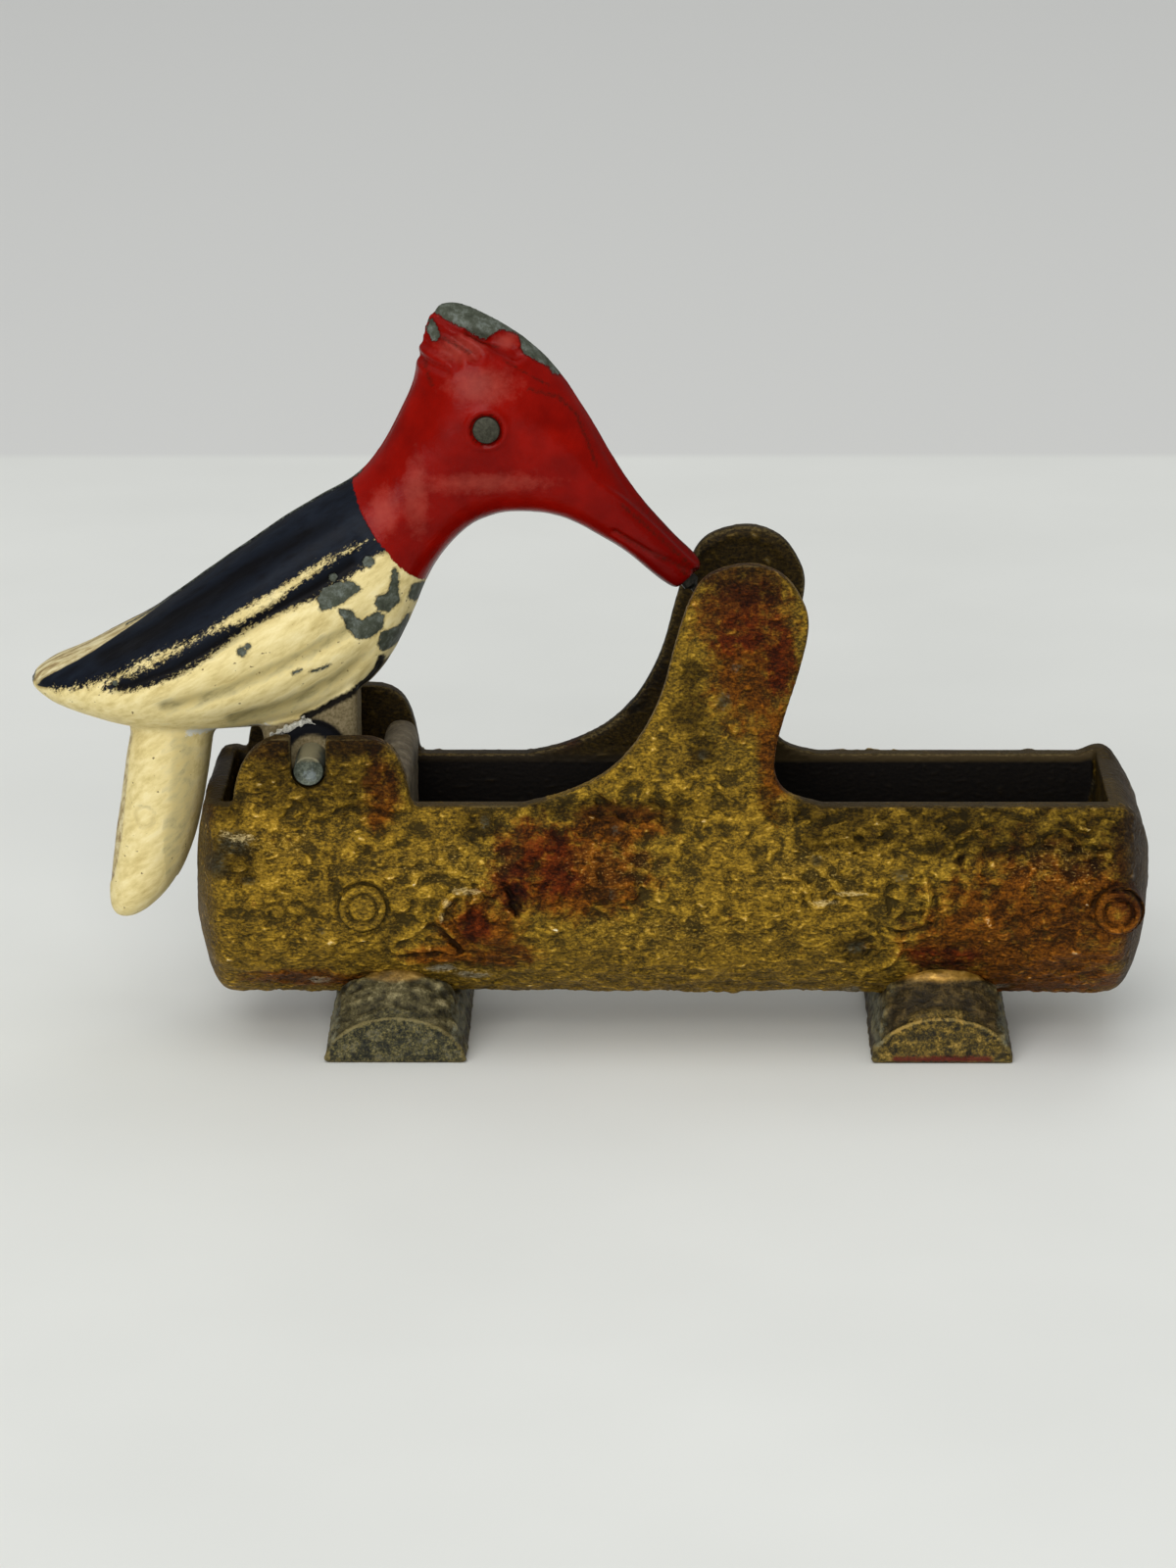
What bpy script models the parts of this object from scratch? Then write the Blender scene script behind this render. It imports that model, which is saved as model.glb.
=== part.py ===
"""Toothpick dispenser: a cast bird that tips on a pin over a hollow cast log.

Frame: metres, +Z up. The origin lies on the surface that the feet stand on, under the
middle of the object. +X runs along the log toward the trough end, where the beak dips.
"""
import math

import bmesh
import bpy
from mathutils import Matrix, Vector

# Clearances
FIT_GAP = 0.0003
CUT_OVERRUN = 0.006

# Log: a round bar shape, cut flat at the rim, with domed ends
LOG_LENGTH = 0.095
LOG_MIDDLE_X = 0.00856
LOG_RADIUS = 0.01445
LOG_CLEARANCE = 0.00432
RIM_ABOVE_AXIS = 0.00907
LEFT_END_BULGE = 0.0037
RIGHT_END_BULGE = 0.0044
DOME_CENTRE_BELOW_AXIS = 0.0008

# Cavity for the toothpicks
RIM_WALL = 0.0020
END_WALL = 0.0021
LIP_WALL = 0.0014
FLOOR_THICKNESS = 0.00508
CAVITY_DRAW = 0.00065

# Stump: two tall plates either side of the trough
STUMP_FROM_LEFT_RIM = 0.05601
STUMP_HEIGHT = 0.02596
STUMP_WIDTH = 0.0130
STUMP_LEAN = 0.00125
PLATE_BLANK = 0.0040
PLATE_SETBACK = 0.00015

# Ears that carry the pivot pin
EAR_PROUD = 0.00093
EAR_THICKNESS = 0.0022
EAR_LENGTH = 0.0191
EAR_HEIGHT = 0.0077
EAR_MIDDLE_FROM_PIN = 0.00135
EAR_ROOT = 0.0032
SLOT_HALF_WIDTH = 0.00185

# Pivot pin
PIN_FROM_LEFT_RIM = 0.00924
PIN_ABOVE_RIM = 0.00386
PIN_RADIUS = 0.0016
PIN_END_INSET = 0.00068

# Cross partition, which is also the bird's stop
PARTITION_FROM_PIN = 0.0089
PARTITION_THICKNESS = 0.0036
PARTITION_TOP_ABOVE_RIM = 0.00386

# Feet
FOOT_INSET = 0.0182
FOOT_WIDTH = 0.0155
FOOT_FACE_HEIGHT = 0.0049
FOOT_HALF_DEPTH = 0.01445
FOOT_NECK_WIDTH = 0.0124
FOOT_NECK_HEIGHT = 0.0096
FOOT_NECK_HALF_DEPTH = 0.0100
FOOT_EDGE = 0.0004
FOOT_FLARE_POWER = 1.6
FOOT_SHOULDER_SHARE = 0.62

# Knots on the bark, on the side that shows
KNOT_RISE = 0.0004
ROUND_KNOT_RADIUS = 0.0025
ROUND_KNOT_FROM_PIN = 0.0055
ROUND_KNOT_BELOW_AXIS = 0.0020
KNOT_GROOVE_RADIUS = 0.0013
KNOT_GROOVE_WIDTH = 0.0005
KNOT_GROOVE_DEPTH = 0.0003
BROAD_KNOT_RADIUS = 0.0031
BROAD_KNOT_FROM_PIN = 0.0186
BROAD_KNOT_BELOW_AXIS = 0.0024
END_KNOT_RADIUS = 0.00275
END_KNOT_RISE = 0.0009
END_KNOT_FROM_RIGHT_RIM = 0.0004
END_KNOT_BELOW_AXIS = 0.0014

# Bird, whose outline is placed from the pin
BIRD_LENGTH = 0.0722
BIRD_HEIGHT = 0.0484
BIRD_WIDTH = 0.0184
TAIL_DROP = 0.0197
TAIL_LEAN = 0.0054
TAIL_PLACE_SHARE = 0.2188
TAIL_CHORD = 0.0092
TAIL_THICKNESS = 0.0092
LEG_HALF_WIDTH = 0.0040
LEG_BACK_FROM_PIN = 0.0046
LEG_FRONT_FROM_PIN = 0.0052
LEG_RISE = 0.0100
HUB_RADIUS = 0.0036
HUB_HALF_WIDTH = 0.0056

# Eyes
EYE_RADIUS = 0.0015
EYE_LENGTH = 0.0016
EYE_AHEAD_SHARE = 0.2632
EYE_ABOVE_SHARE = 0.7355
HEAD_HALF_WIDTH_SHARE = 0.535
EYE_PROUD = 0.0002

# Needle at the beak's end
NEEDLE_RADIUS = 0.00045
NEEDLE_STUB_RADIUS = 0.00095
NEEDLE_STUB_OUT = 0.0012
NEEDLE_OUT = 0.0045
NEEDLE_POINT = 0.0014
NEEDLE_TIP_RADIUS = 0.0001
NEEDLE_IN = 0.0035
NEEDLE_ANGLE = math.radians(50.0)
BEAK_END_AHEAD_SHARE = 0.5526
BEAK_END_ABOVE_SHARE = 0.3864

# Facet counts
LOG_ARC_STEPS = 44
DOME_STEPS = 7
ROUND_STEPS = 24
BIRD_RING_STEPS = 24
TAIL_RING_STEPS = 18
CURVE_STEPS = 4

# Places that follow from the sizes
EYE_STAND_OFF = BIRD_WIDTH / 2 * HEAD_HALF_WIDTH_SHARE
LEFT_RIM_X = LOG_MIDDLE_X - LOG_LENGTH / 2
RIGHT_RIM_X = LOG_MIDDLE_X + LOG_LENGTH / 2
LOG_AXIS_Z = LOG_CLEARANCE + LOG_RADIUS
RIM_Z = LOG_AXIS_Z + RIM_ABOVE_AXIS
RIM_HALF_WIDTH = math.sqrt(LOG_RADIUS ** 2 - RIM_ABOVE_AXIS ** 2)
CAVITY_HALF_WIDTH_RIM = RIM_HALF_WIDTH - RIM_WALL
CAVITY_HALF_WIDTH_LOW = CAVITY_HALF_WIDTH_RIM - CAVITY_DRAW
FLOOR_Z = LOG_CLEARANCE + FLOOR_THICKNESS
EAR_OUTER_HALF_WIDTH = RIM_HALF_WIDTH + EAR_PROUD
PIN_HALF_LENGTH = EAR_OUTER_HALF_WIDTH - PIN_END_INSET
STUMP_X = LEFT_RIM_X + STUMP_FROM_LEFT_RIM
PIN_X = LEFT_RIM_X + PIN_FROM_LEFT_RIM
PIN_Z = RIM_Z + PIN_ABOVE_RIM
PARTITION_X = PIN_X + PARTITION_FROM_PIN
EAR_X = PIN_X + EAR_MIDDLE_FROM_PIN

# How far the left end's upper half keeps its height, ring by ring out to the end.
# The lip lies on the second ring.
LIP_SHARES = (1.0, 1.0, 0.95, 0.70, 0.434, 0.2225)
LIP_X = LEFT_RIM_X - LEFT_END_BULGE * math.sin(math.pi / DOME_STEPS)

# Side outline of a stump plate: shares of STUMP_WIDTH from its middle and of STUMP_HEIGHT above the rim
STUMP_OUTLINE_SHARES = (
    (-1.81, 0.005), (-1.51, 0.045), (-1.20, 0.12), (-0.98, 0.22), (-0.82, 0.34),
    (-0.70, 0.48), (-0.60, 0.67), (-0.49, 0.84), (-0.33, 0.955), (0.0, 1.0),
    (0.27, 0.955), (0.43, 0.85), (0.485, 0.74), (0.41, 0.56), (0.31, 0.40),
    (0.23, 0.25), (0.215, 0.13), (0.32, 0.045), (0.58, 0.004),
)

# Side outline of an ear: shares of EAR_LENGTH from its middle and of EAR_HEIGHT above the rim
EAR_OUTLINE_SHARES = (
    (-0.50, -0.05), (-0.485, 0.25), (-0.45, 0.55), (-0.385, 0.80), (-0.28, 0.97), (-0.16, 1.0),
    (0.05, 0.97), (0.20, 0.985), (0.32, 0.95), (0.405, 0.80), (0.455, 0.55), (0.485, 0.22), (0.50, -0.05),
)

# Bird sections from the wing tip to the beak. Each row holds the upper and the lower point of one
# section, as shares of BIRD_LENGTH and BIRD_HEIGHT from the pin, then shares for width and for pinch.
BIRD_SECTION_SHARES = (
    (-0.422, 0.168, -0.421, 0.136, 0.22, 0.0),
    (-0.402, 0.190, -0.398, 0.109, 0.43, 0.0),
    (-0.381, 0.207, -0.374, 0.090, 0.59, 0.0),
    (-0.337, 0.232, -0.327, 0.068, 0.79, 0.0),
    (-0.292, 0.267, -0.274, 0.046, 0.94, 0.0),
    (-0.247, 0.299, -0.219, 0.039, 1.0, 0.0),
    (-0.202, 0.347, -0.156, 0.037, 1.0, 0.0),
    (-0.143, 0.411, -0.094, 0.041, 0.99, 0.0),
    (-0.084, 0.473, -0.025, 0.056, 0.94, 0.0),
    (-0.025, 0.535, 0.040, 0.093, 0.84, 0.0),
    (0.033, 0.583, 0.091, 0.149, 0.71, 0.0),
    (0.070, 0.614, 0.124, 0.225, 0.62, 0.0),
    (0.096, 0.655, 0.150, 0.307, 0.555, 0.0),
    (0.118, 0.706, 0.169, 0.378, 0.52, 0.0),
    (0.136, 0.762, 0.191, 0.436, 0.515, 0.08),
    (0.156, 0.820, 0.223, 0.490, 0.525, 0.25),
    (0.163, 0.900, 0.245, 0.510, 0.535, 0.45),
    (0.181, 0.978, 0.268, 0.522, 0.54, 0.60),
    (0.207, 1.002, 0.290, 0.530, 0.54, 0.66),
    (0.250, 0.980, 0.316, 0.530, 0.535, 0.60),
    (0.304, 0.935, 0.346, 0.528, 0.52, 0.45),
    (0.350, 0.882, 0.374, 0.518, 0.485, 0.30),
    (0.386, 0.806, 0.402, 0.499, 0.43, 0.18),
    (0.415, 0.738, 0.428, 0.477, 0.375, 0.12),
    (0.445, 0.656, 0.454, 0.454, 0.33, 0.10),
    (0.484, 0.566, 0.483, 0.421, 0.28, 0.08),
    (0.529, 0.490, 0.510, 0.386, 0.24, 0.05),
    (0.566, 0.436, 0.535, 0.360, 0.2, 0.02),
    (0.577, 0.410, 0.546, 0.361, 0.15, 0.0),
)

# Tail sections from its root to its tip: shares of TAIL_DROP down, of TAIL_LEAN back,
# of TAIL_CHORD and of TAIL_THICKNESS
TAIL_SECTION_SHARES = (
    (-0.18, -0.12, 1.02, 0.92), (0.0, 0.0, 1.0, 1.0), (0.18, 0.10, 1.0, 1.0), (0.40, 0.24, 0.99, 0.97),
    (0.57, 0.37, 0.94, 0.92), (0.73, 0.54, 0.84, 0.84), (0.83, 0.68, 0.72, 0.74), (0.91, 0.81, 0.56, 0.60),
    (0.96, 0.90, 0.39, 0.44), (0.995, 0.98, 0.17, 0.20),
)

# Side outline of the leg above the pin: shares of LEG_FRONT_FROM_PIN ahead and of LEG_RISE up
LEG_OUTLINE_SHARES = ((1.0, 0.15), (1.0, 0.66), (0.42, 1.0), (-1.0, 0.6), (-1.15, 0.3))

# Sections of a foot from its face to its neck, as shares of the way out
FOOT_FLARE_SHARES = (1.0, 0.85, 0.65, 0.45, 0.25, 0.0)

COLLECTION = bpy.context.scene.collection


def clear_scene():
    """Remove every object that the file starts with."""
    for thing in list(bpy.data.objects):
        bpy.data.objects.remove(thing, do_unlink=True)


def make_material(name, rgb, roughness, metallic):
    """Return a Principled material in one plain colour."""
    material = bpy.data.materials.new(name)
    material.use_nodes = True
    shader = material.node_tree.nodes["Principled BSDF"]
    shader.inputs["Base Color"].default_value = (*rgb, 1.0)
    shader.inputs["Roughness"].default_value = roughness
    shader.inputs["Metallic"].default_value = metallic
    material.diffuse_color = (*rgb, 1.0)
    return material


def object_from_bmesh(name, mesh_data):
    """Turn a bmesh into a linked object whose faces point out."""
    bmesh.ops.recalc_face_normals(mesh_data, faces=mesh_data.faces)
    mesh = bpy.data.meshes.new(name)
    mesh_data.to_mesh(mesh)
    mesh_data.free()
    thing = bpy.data.objects.new(name, mesh)
    COLLECTION.objects.link(thing)
    return thing


def loft(name, rings):
    """Skin a closed solid over rings of points, with a flat cap on each end."""
    mesh_data = bmesh.new()
    rows = [[mesh_data.verts.new(point) for point in ring] for ring in rings]
    count = len(rows[0])
    for row, following in zip(rows, rows[1:]):
        for index in range(count):
            after = (index + 1) % count
            mesh_data.faces.new((row[index], row[after], following[after], following[index]))
    mesh_data.faces.new(rows[0])
    mesh_data.faces.new(rows[-1])
    return object_from_bmesh(name, mesh_data)


def prism_along_y(name, outline, low_y, high_y):
    """Extrude an outline of (x, z) points from low_y to high_y."""
    return loft(name, [[(x, y, z) for x, z in outline] for y in (low_y, high_y)])


def prism_along_x(name, outline, low_x, high_x):
    """Extrude an outline of (y, z) points from low_x to high_x."""
    return loft(name, [[(x, y, z) for y, z in outline] for x in (low_x, high_x)])


def rod(name, start, end, radius, steps=ROUND_STEPS):
    """Make a round bar between two points."""
    start, end = Vector(start), Vector(end)
    axis = (end - start).normalized()
    side = axis.orthogonal().normalized()
    other = axis.cross(side)
    circle = [
        side * math.cos(math.tau * step / steps) + other * math.sin(math.tau * step / steps)
        for step in range(steps)
    ]
    return loft(name, [[place + arm * radius for arm in circle] for place in (start, end)])


def smooth_through(points, steps=CURVE_STEPS):
    """Return points along a smooth open curve that passes through the given points."""
    points = [Vector(point) for point in points]
    result = []
    for index in range(len(points) - 1):
        before = points[max(index - 1, 0)]
        start = points[index]
        end = points[index + 1]
        after = points[min(index + 2, len(points) - 1)]
        for step in range(steps):
            t = step / steps
            result.append(
                0.5 * (
                    2 * start
                    + (end - before) * t
                    + (2 * before - 5 * start + 4 * end - after) * t ** 2
                    + (3 * start - 3 * end + after - before) * t ** 3
                )
            )
    result.append(points[-1])
    return result


def arc(centre, radius, start_degrees, end_degrees, steps):
    """Return points on an arc in a plane, both ends included."""
    points = []
    for step in range(steps + 1):
        angle = math.radians(start_degrees + (end_degrees - start_degrees) * step / steps)
        points.append((centre[0] + radius * math.cos(angle), centre[1] + radius * math.sin(angle)))
    return points


def combine(target, tools, operation):
    """Join tools to a solid, cut them from it or keep what they share, then remove them."""
    for tool in tools:
        modifier = target.modifiers.new(operation.title(), "BOOLEAN")
        modifier.operation = operation
        modifier.object = tool
    depsgraph = bpy.context.evaluated_depsgraph_get()
    mesh = bpy.data.meshes.new_from_object(target.evaluated_get(depsgraph))
    target.modifiers.clear()
    old_mesh = target.data
    target.data = mesh
    bpy.data.meshes.remove(old_mesh)
    for tool in tools:
        bpy.data.objects.remove(tool, do_unlink=True)
    return target


def finish(thing, name, material, parent, sharp_degrees=32.0):
    """Name a piece, shade and paint it, and hang it on its parent without moving it."""
    thing.name = name
    thing.data.name = name
    thing.data.materials.clear()
    thing.data.materials.append(material)
    thing.data.shade_smooth()
    thing.data.set_sharp_from_angle(angle=math.radians(sharp_degrees))
    offset = Matrix.Translation(-parent.location)
    thing.data.transform(offset)
    thing.parent = parent
    return thing


def log_section():
    """Points (y, z) of the log's round section with its flat at the rim."""
    rim_angle = math.degrees(math.asin(RIM_ABOVE_AXIS / LOG_RADIUS))
    return arc((0.0, LOG_AXIS_Z), LOG_RADIUS, rim_angle, -180.0 - rim_angle, LOG_ARC_STEPS)


def log_blank():
    """The closed outer form of the log: straight between the rims, domed past them."""
    section = log_section()
    dome_z = LOG_AXIS_Z - DOME_CENTRE_BELOW_AXIS
    rings = []

    def ring(x, share, upper_share):
        return [
            (x, y * share, dome_z + (z - dome_z) * (upper_share if z > dome_z else share))
            for y, z in section
        ]

    angles = [math.pi / 2 * step / DOME_STEPS for step in range(1, DOME_STEPS)]
    for angle, lip_share in zip(reversed(angles), reversed(LIP_SHARES)):
        x = LEFT_RIM_X - LEFT_END_BULGE * math.sin(angle)
        rings.append(ring(x, math.cos(angle), lip_share))
    rings.append(ring(LEFT_RIM_X, 1.0, 1.0))
    rings.append(ring(RIGHT_RIM_X, 1.0, 1.0))
    for angle in angles:
        share = math.cos(angle)
        rings.append(ring(RIGHT_RIM_X + RIGHT_END_BULGE * math.sin(angle), share, share))
    return loft("log_blank", rings)


def stump_plate(side):
    """One tall plate of the stump. It leans in a little and its foot lies inside the log's wall."""
    crown = smooth_through([
        (STUMP_X + STUMP_WIDTH * across, RIM_Z + STUMP_HEIGHT * up) for across, up in STUMP_OUTLINE_SHARES
    ])
    root_z = RIM_Z - RIM_WALL
    outline = [(crown[0].x, root_z)] + [(point.x, point.y) for point in crown] + [(crown[-1].x, root_z)]
    lean = STUMP_LEAN / STUMP_HEIGHT
    rings = []
    for inward in (PLATE_SETBACK, PLATE_BLANK):
        rings.append([
            (x, side * (RIM_HALF_WIDTH - lean * (z - RIM_Z) - inward), z) for x, z in outline
        ])
    return loft("stump_plate", rings)


def ear(side):
    """One of the two ears that the pin lies in."""
    crown = smooth_through([
        (EAR_X + EAR_LENGTH * across, RIM_Z + EAR_HEIGHT * up) for across, up in EAR_OUTLINE_SHARES
    ])
    root_z = RIM_Z - EAR_ROOT
    outline = [(crown[0].x, root_z)] + [(point.x, point.y) for point in crown] + [(crown[-1].x, root_z)]
    outer = side * EAR_OUTER_HALF_WIDTH
    return prism_along_y("ear", outline, outer, outer - side * EAR_THICKNESS)


def cavity_outline(gap):
    """Points (y, z) of the trough's section up to the rim, drawn in by a gap all round."""
    half_low = CAVITY_HALF_WIDTH_LOW - gap
    floor_centre_z = FLOOR_Z + CAVITY_HALF_WIDTH_LOW
    bottom = arc((0.0, floor_centre_z), half_low, 0.0, -180.0, ROUND_STEPS)
    half_rim = CAVITY_HALF_WIDTH_RIM - gap
    return [(half_rim, RIM_Z)] + bottom + [(-half_rim, RIM_Z)]


def cavity_cutter():
    """Everything that is hollow inside the end walls, with the gap between the stump's plates."""
    lean = STUMP_LEAN / STUMP_HEIGHT
    top_z = RIM_Z + STUMP_HEIGHT + CUT_OVERRUN
    half_top = CAVITY_HALF_WIDTH_RIM - lean * (top_z - RIM_Z)
    outline = [(half_top, top_z)] + cavity_outline(0.0) + [(-half_top, top_z)]
    return prism_along_x("cavity", outline, LIP_X + LIP_WALL, RIGHT_RIM_X - END_WALL)


def slot_cutter():
    """The open-topped slot through both ears."""
    reach = EAR_OUTER_HALF_WIDTH + CUT_OVERRUN
    bottom_z = PIN_Z - PIN_RADIUS - FIT_GAP
    top_z = RIM_Z + EAR_HEIGHT + CUT_OVERRUN
    outline = arc((PIN_X, bottom_z + SLOT_HALF_WIDTH), SLOT_HALF_WIDTH, 0.0, -180.0, ROUND_STEPS // 2)
    outline += [(PIN_X - SLOT_HALF_WIDTH, top_z), (PIN_X + SLOT_HALF_WIDTH, top_z)]
    return prism_along_y("slot", outline, -reach, reach)


def knot(x, below_axis, radius, rise):
    """A round knot that stands out of the bark on the near side."""
    z = LOG_AXIS_Z - below_axis
    surface_y = -math.sqrt(LOG_RADIUS ** 2 - below_axis ** 2)
    return rod("knot", (x, surface_y + radius, z), (x, surface_y - rise, z), radius)


def knot_groove():
    """The ring cut into the round knot's face."""
    x = PIN_X + ROUND_KNOT_FROM_PIN
    z = LOG_AXIS_Z - ROUND_KNOT_BELOW_AXIS
    face_y = -math.sqrt(LOG_RADIUS ** 2 - ROUND_KNOT_BELOW_AXIS ** 2) - KNOT_RISE
    bottom = (x, face_y + KNOT_GROOVE_DEPTH, z)
    mouth = (x, face_y - CUT_OVERRUN, z)
    groove = rod("knot_groove", bottom, mouth, KNOT_GROOVE_RADIUS + KNOT_GROOVE_WIDTH)
    core_bottom = (x, face_y + CUT_OVERRUN, z)
    core_mouth = (x, face_y - CUT_OVERRUN - CUT_OVERRUN, z)
    core = rod("groove_core", core_bottom, core_mouth, KNOT_GROOVE_RADIUS)
    return combine(groove, [core], "DIFFERENCE")


def build_log(material, parent):
    """The hollow cast log with its stump, ears and knots."""
    log = log_blank()
    added = [stump_plate(1), stump_plate(-1), ear(1), ear(-1)]
    added.append(knot(PIN_X + ROUND_KNOT_FROM_PIN, ROUND_KNOT_BELOW_AXIS, ROUND_KNOT_RADIUS, KNOT_RISE))
    added.append(knot(PIN_X + BROAD_KNOT_FROM_PIN, BROAD_KNOT_BELOW_AXIS, BROAD_KNOT_RADIUS, KNOT_RISE))
    end_knot_x = RIGHT_RIM_X + END_KNOT_FROM_RIGHT_RIM
    added.append(knot(end_knot_x, END_KNOT_BELOW_AXIS, END_KNOT_RADIUS, END_KNOT_RISE))
    combine(log, added, "UNION")
    combine(log, [cavity_cutter(), slot_cutter(), knot_groove()], "DIFFERENCE")
    return finish(log, "log_casting", material, parent)


def build_partition(material, parent):
    """The cross wall between the pin's well and the trough, round on top."""
    half = PARTITION_THICKNESS / 2
    low_x = PARTITION_X - half
    high_x = PARTITION_X + half
    wall = prism_along_x("partition", cavity_outline(FIT_GAP), low_x, high_x)
    crown_centre_z = RIM_Z + PARTITION_TOP_ABOVE_RIM - half
    outline = arc((PARTITION_X, crown_centre_z), half, 0.0, 180.0, ROUND_STEPS // 2)
    outline += [(low_x, RIM_Z + FIT_GAP), (high_x, RIM_Z + FIT_GAP)]
    reach = EAR_OUTER_HALF_WIDTH - EAR_THICKNESS - FIT_GAP
    crown = prism_along_y("partition_crown", outline, -reach, reach)
    neck_outline = [
        (low_x, RIM_Z - half),
        (low_x, RIM_Z + half),
        (high_x, RIM_Z + half),
        (high_x, RIM_Z - half),
    ]
    neck_reach = CAVITY_HALF_WIDTH_RIM - FIT_GAP - FIT_GAP
    neck = prism_along_y("partition_neck", neck_outline, -neck_reach, neck_reach)
    combine(wall, [crown, neck], "UNION")
    return finish(wall, "cross_partition", material, parent)


def foot_ring(x, y, shoulder_width, shoulder_z, top_z):
    """One section of a foot: flat on the ground, with leaning sides under an arch."""
    steps = ROUND_STEPS // 2
    crown = []
    for step in range(steps + 1):
        angle = math.pi * step / steps
        across = shoulder_width / 2 * math.cos(angle)
        crown.append((x + across, y, shoulder_z + (top_z - shoulder_z) * math.sin(angle)))
    return [(x + FOOT_WIDTH / 2, y, 0.0)] + crown + [(x - FOOT_WIDTH / 2, y, 0.0)]


def foot_sizes(share):
    """Depth, shoulder width, shoulder height and top of a foot at a share of the way out."""
    flare = share ** FOOT_FLARE_POWER
    depth = FOOT_NECK_HALF_DEPTH + (FOOT_HALF_DEPTH - FOOT_NECK_HALF_DEPTH) * share
    width = FOOT_NECK_WIDTH + (FOOT_WIDTH - FOOT_NECK_WIDTH) * flare
    top_z = FOOT_NECK_HEIGHT + (FOOT_FACE_HEIGHT - FOOT_NECK_HEIGHT) * flare
    shoulder_z = max(top_z * FOOT_SHOULDER_SHARE * (1.0 - flare), FOOT_EDGE)
    return depth, width, shoulder_z, top_z


def build_foot(name, x, material, parent):
    """A saddle-shaped foot that is soldered under the log."""
    sizes = [foot_sizes(share) for share in FOOT_FLARE_SHARES]
    rings = [foot_ring(x, -depth, width, shoulder, top) for depth, width, shoulder, top in sizes]
    rings += [foot_ring(x, depth, width, shoulder, top) for depth, width, shoulder, top in reversed(sizes)]
    foot = loft(name, rings)
    reach = FOOT_WIDTH
    seat_circle = arc((0.0, LOG_AXIS_Z), LOG_RADIUS + FIT_GAP, 0.0, 360.0, 2 * LOG_ARC_STEPS)[:-1]
    seat = prism_along_x("foot_seat", seat_circle, x - reach, x + reach)
    combine(foot, [seat], "DIFFERENCE")
    return finish(foot, name, material, parent)


def bird_ring(shares):
    """One section of the bird: an oval from its lower to its upper point, pinched in near the top."""
    top_x, top_z, low_x, low_z, width, pinch = shares
    top = Vector((PIN_X + BIRD_LENGTH * top_x, 0.0, PIN_Z + BIRD_HEIGHT * top_z))
    low = Vector((PIN_X + BIRD_LENGTH * low_x, 0.0, PIN_Z + BIRD_HEIGHT * low_z))
    middle = (top + low) / 2
    rise = (top - low) / 2
    half_width = BIRD_WIDTH / 2 * width
    ring = []
    for step in range(BIRD_RING_STEPS):
        angle = math.tau * step / BIRD_RING_STEPS
        up = math.sin(angle)
        narrowed = half_width * (1.0 - pinch * max(up, 0.0) ** 1.5)
        ring.append(middle + rise * up + Vector((0.0, narrowed * math.cos(angle), 0.0)))
    return ring


def tail_ring(shares):
    """One level section of the tail."""
    down, back, chord, thick = shares
    x = PIN_X - BIRD_LENGTH * TAIL_PLACE_SHARE - TAIL_LEAN * back
    z = PIN_Z - TAIL_DROP * down
    ring = []
    for step in range(TAIL_RING_STEPS):
        angle = math.tau * step / TAIL_RING_STEPS
        ring.append((
            x + TAIL_CHORD / 2 * chord * math.cos(angle),
            TAIL_THICKNESS / 2 * thick * math.sin(angle),
            z,
        ))
    return ring


def bird_leg():
    """The leg that reaches down into the log's well and round the pin."""
    outline = arc((PIN_X, PIN_Z), LEG_BACK_FROM_PIN, 180.0, 360.0, ROUND_STEPS // 2)
    outline += [
        (PIN_X + LEG_FRONT_FROM_PIN * across, PIN_Z + LEG_RISE * up) for across, up in LEG_OUTLINE_SHARES
    ]
    return prism_along_y("leg", outline, -LEG_HALF_WIDTH, LEG_HALF_WIDTH)


def needle_frame():
    """The needle's place in the beak's end and its direction."""
    ahead = BIRD_LENGTH * BEAK_END_AHEAD_SHARE
    above = BIRD_HEIGHT * BEAK_END_ABOVE_SHARE
    place = Vector((PIN_X + ahead, 0.0, PIN_Z + above))
    direction = Vector((math.cos(NEEDLE_ANGLE), 0.0, -math.sin(NEEDLE_ANGLE)))
    return place, direction


def eye_place(side, out):
    """A point on an eye's axis, a distance out from the middle of the head."""
    return (PIN_X + BIRD_LENGTH * EYE_AHEAD_SHARE, side * out, PIN_Z + BIRD_HEIGHT * EYE_ABOVE_SHARE)


def build_bird(material, parent):
    """The cast bird: body, head, beak, tail and leg in one piece."""
    bird = loft("bird", [bird_ring(shares) for shares in BIRD_SECTION_SHARES])
    tail = loft("tail", [tail_ring(shares) for shares in TAIL_SECTION_SHARES])
    hub = rod("hub", (PIN_X, -HUB_HALF_WIDTH, PIN_Z), (PIN_X, HUB_HALF_WIDTH, PIN_Z), HUB_RADIUS)
    combine(bird, [tail, bird_leg(), hub], "UNION")
    reach = HUB_HALF_WIDTH + CUT_OVERRUN
    cutters = [rod("pin_bore", (PIN_X, -reach, PIN_Z), (PIN_X, reach, PIN_Z), PIN_RADIUS + FIT_GAP)]
    place, direction = needle_frame()
    hole_start = place - direction * (NEEDLE_IN + FIT_GAP)
    hole_end = place + direction * CUT_OVERRUN
    cutters.append(rod("needle_bore", hole_start, hole_end, NEEDLE_STUB_RADIUS + FIT_GAP, ROUND_STEPS // 2))
    eye_depth = EYE_STAND_OFF + EYE_PROUD - EYE_LENGTH - FIT_GAP
    for side in (1, -1):
        start = eye_place(side, eye_depth)
        end = eye_place(side, eye_depth + CUT_OVERRUN)
        cutters.append(rod("eye_socket", start, end, EYE_RADIUS + FIT_GAP))
    combine(bird, cutters, "DIFFERENCE")
    return finish(bird, "bird_casting", material, parent, 40.0)


def build_pin(material, parent):
    """The plain pin that the bird tips on."""
    pin = rod("pin", (PIN_X, -PIN_HALF_LENGTH, PIN_Z), (PIN_X, PIN_HALF_LENGTH, PIN_Z), PIN_RADIUS)
    return finish(pin, "pivot_pin", material, parent)


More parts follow.
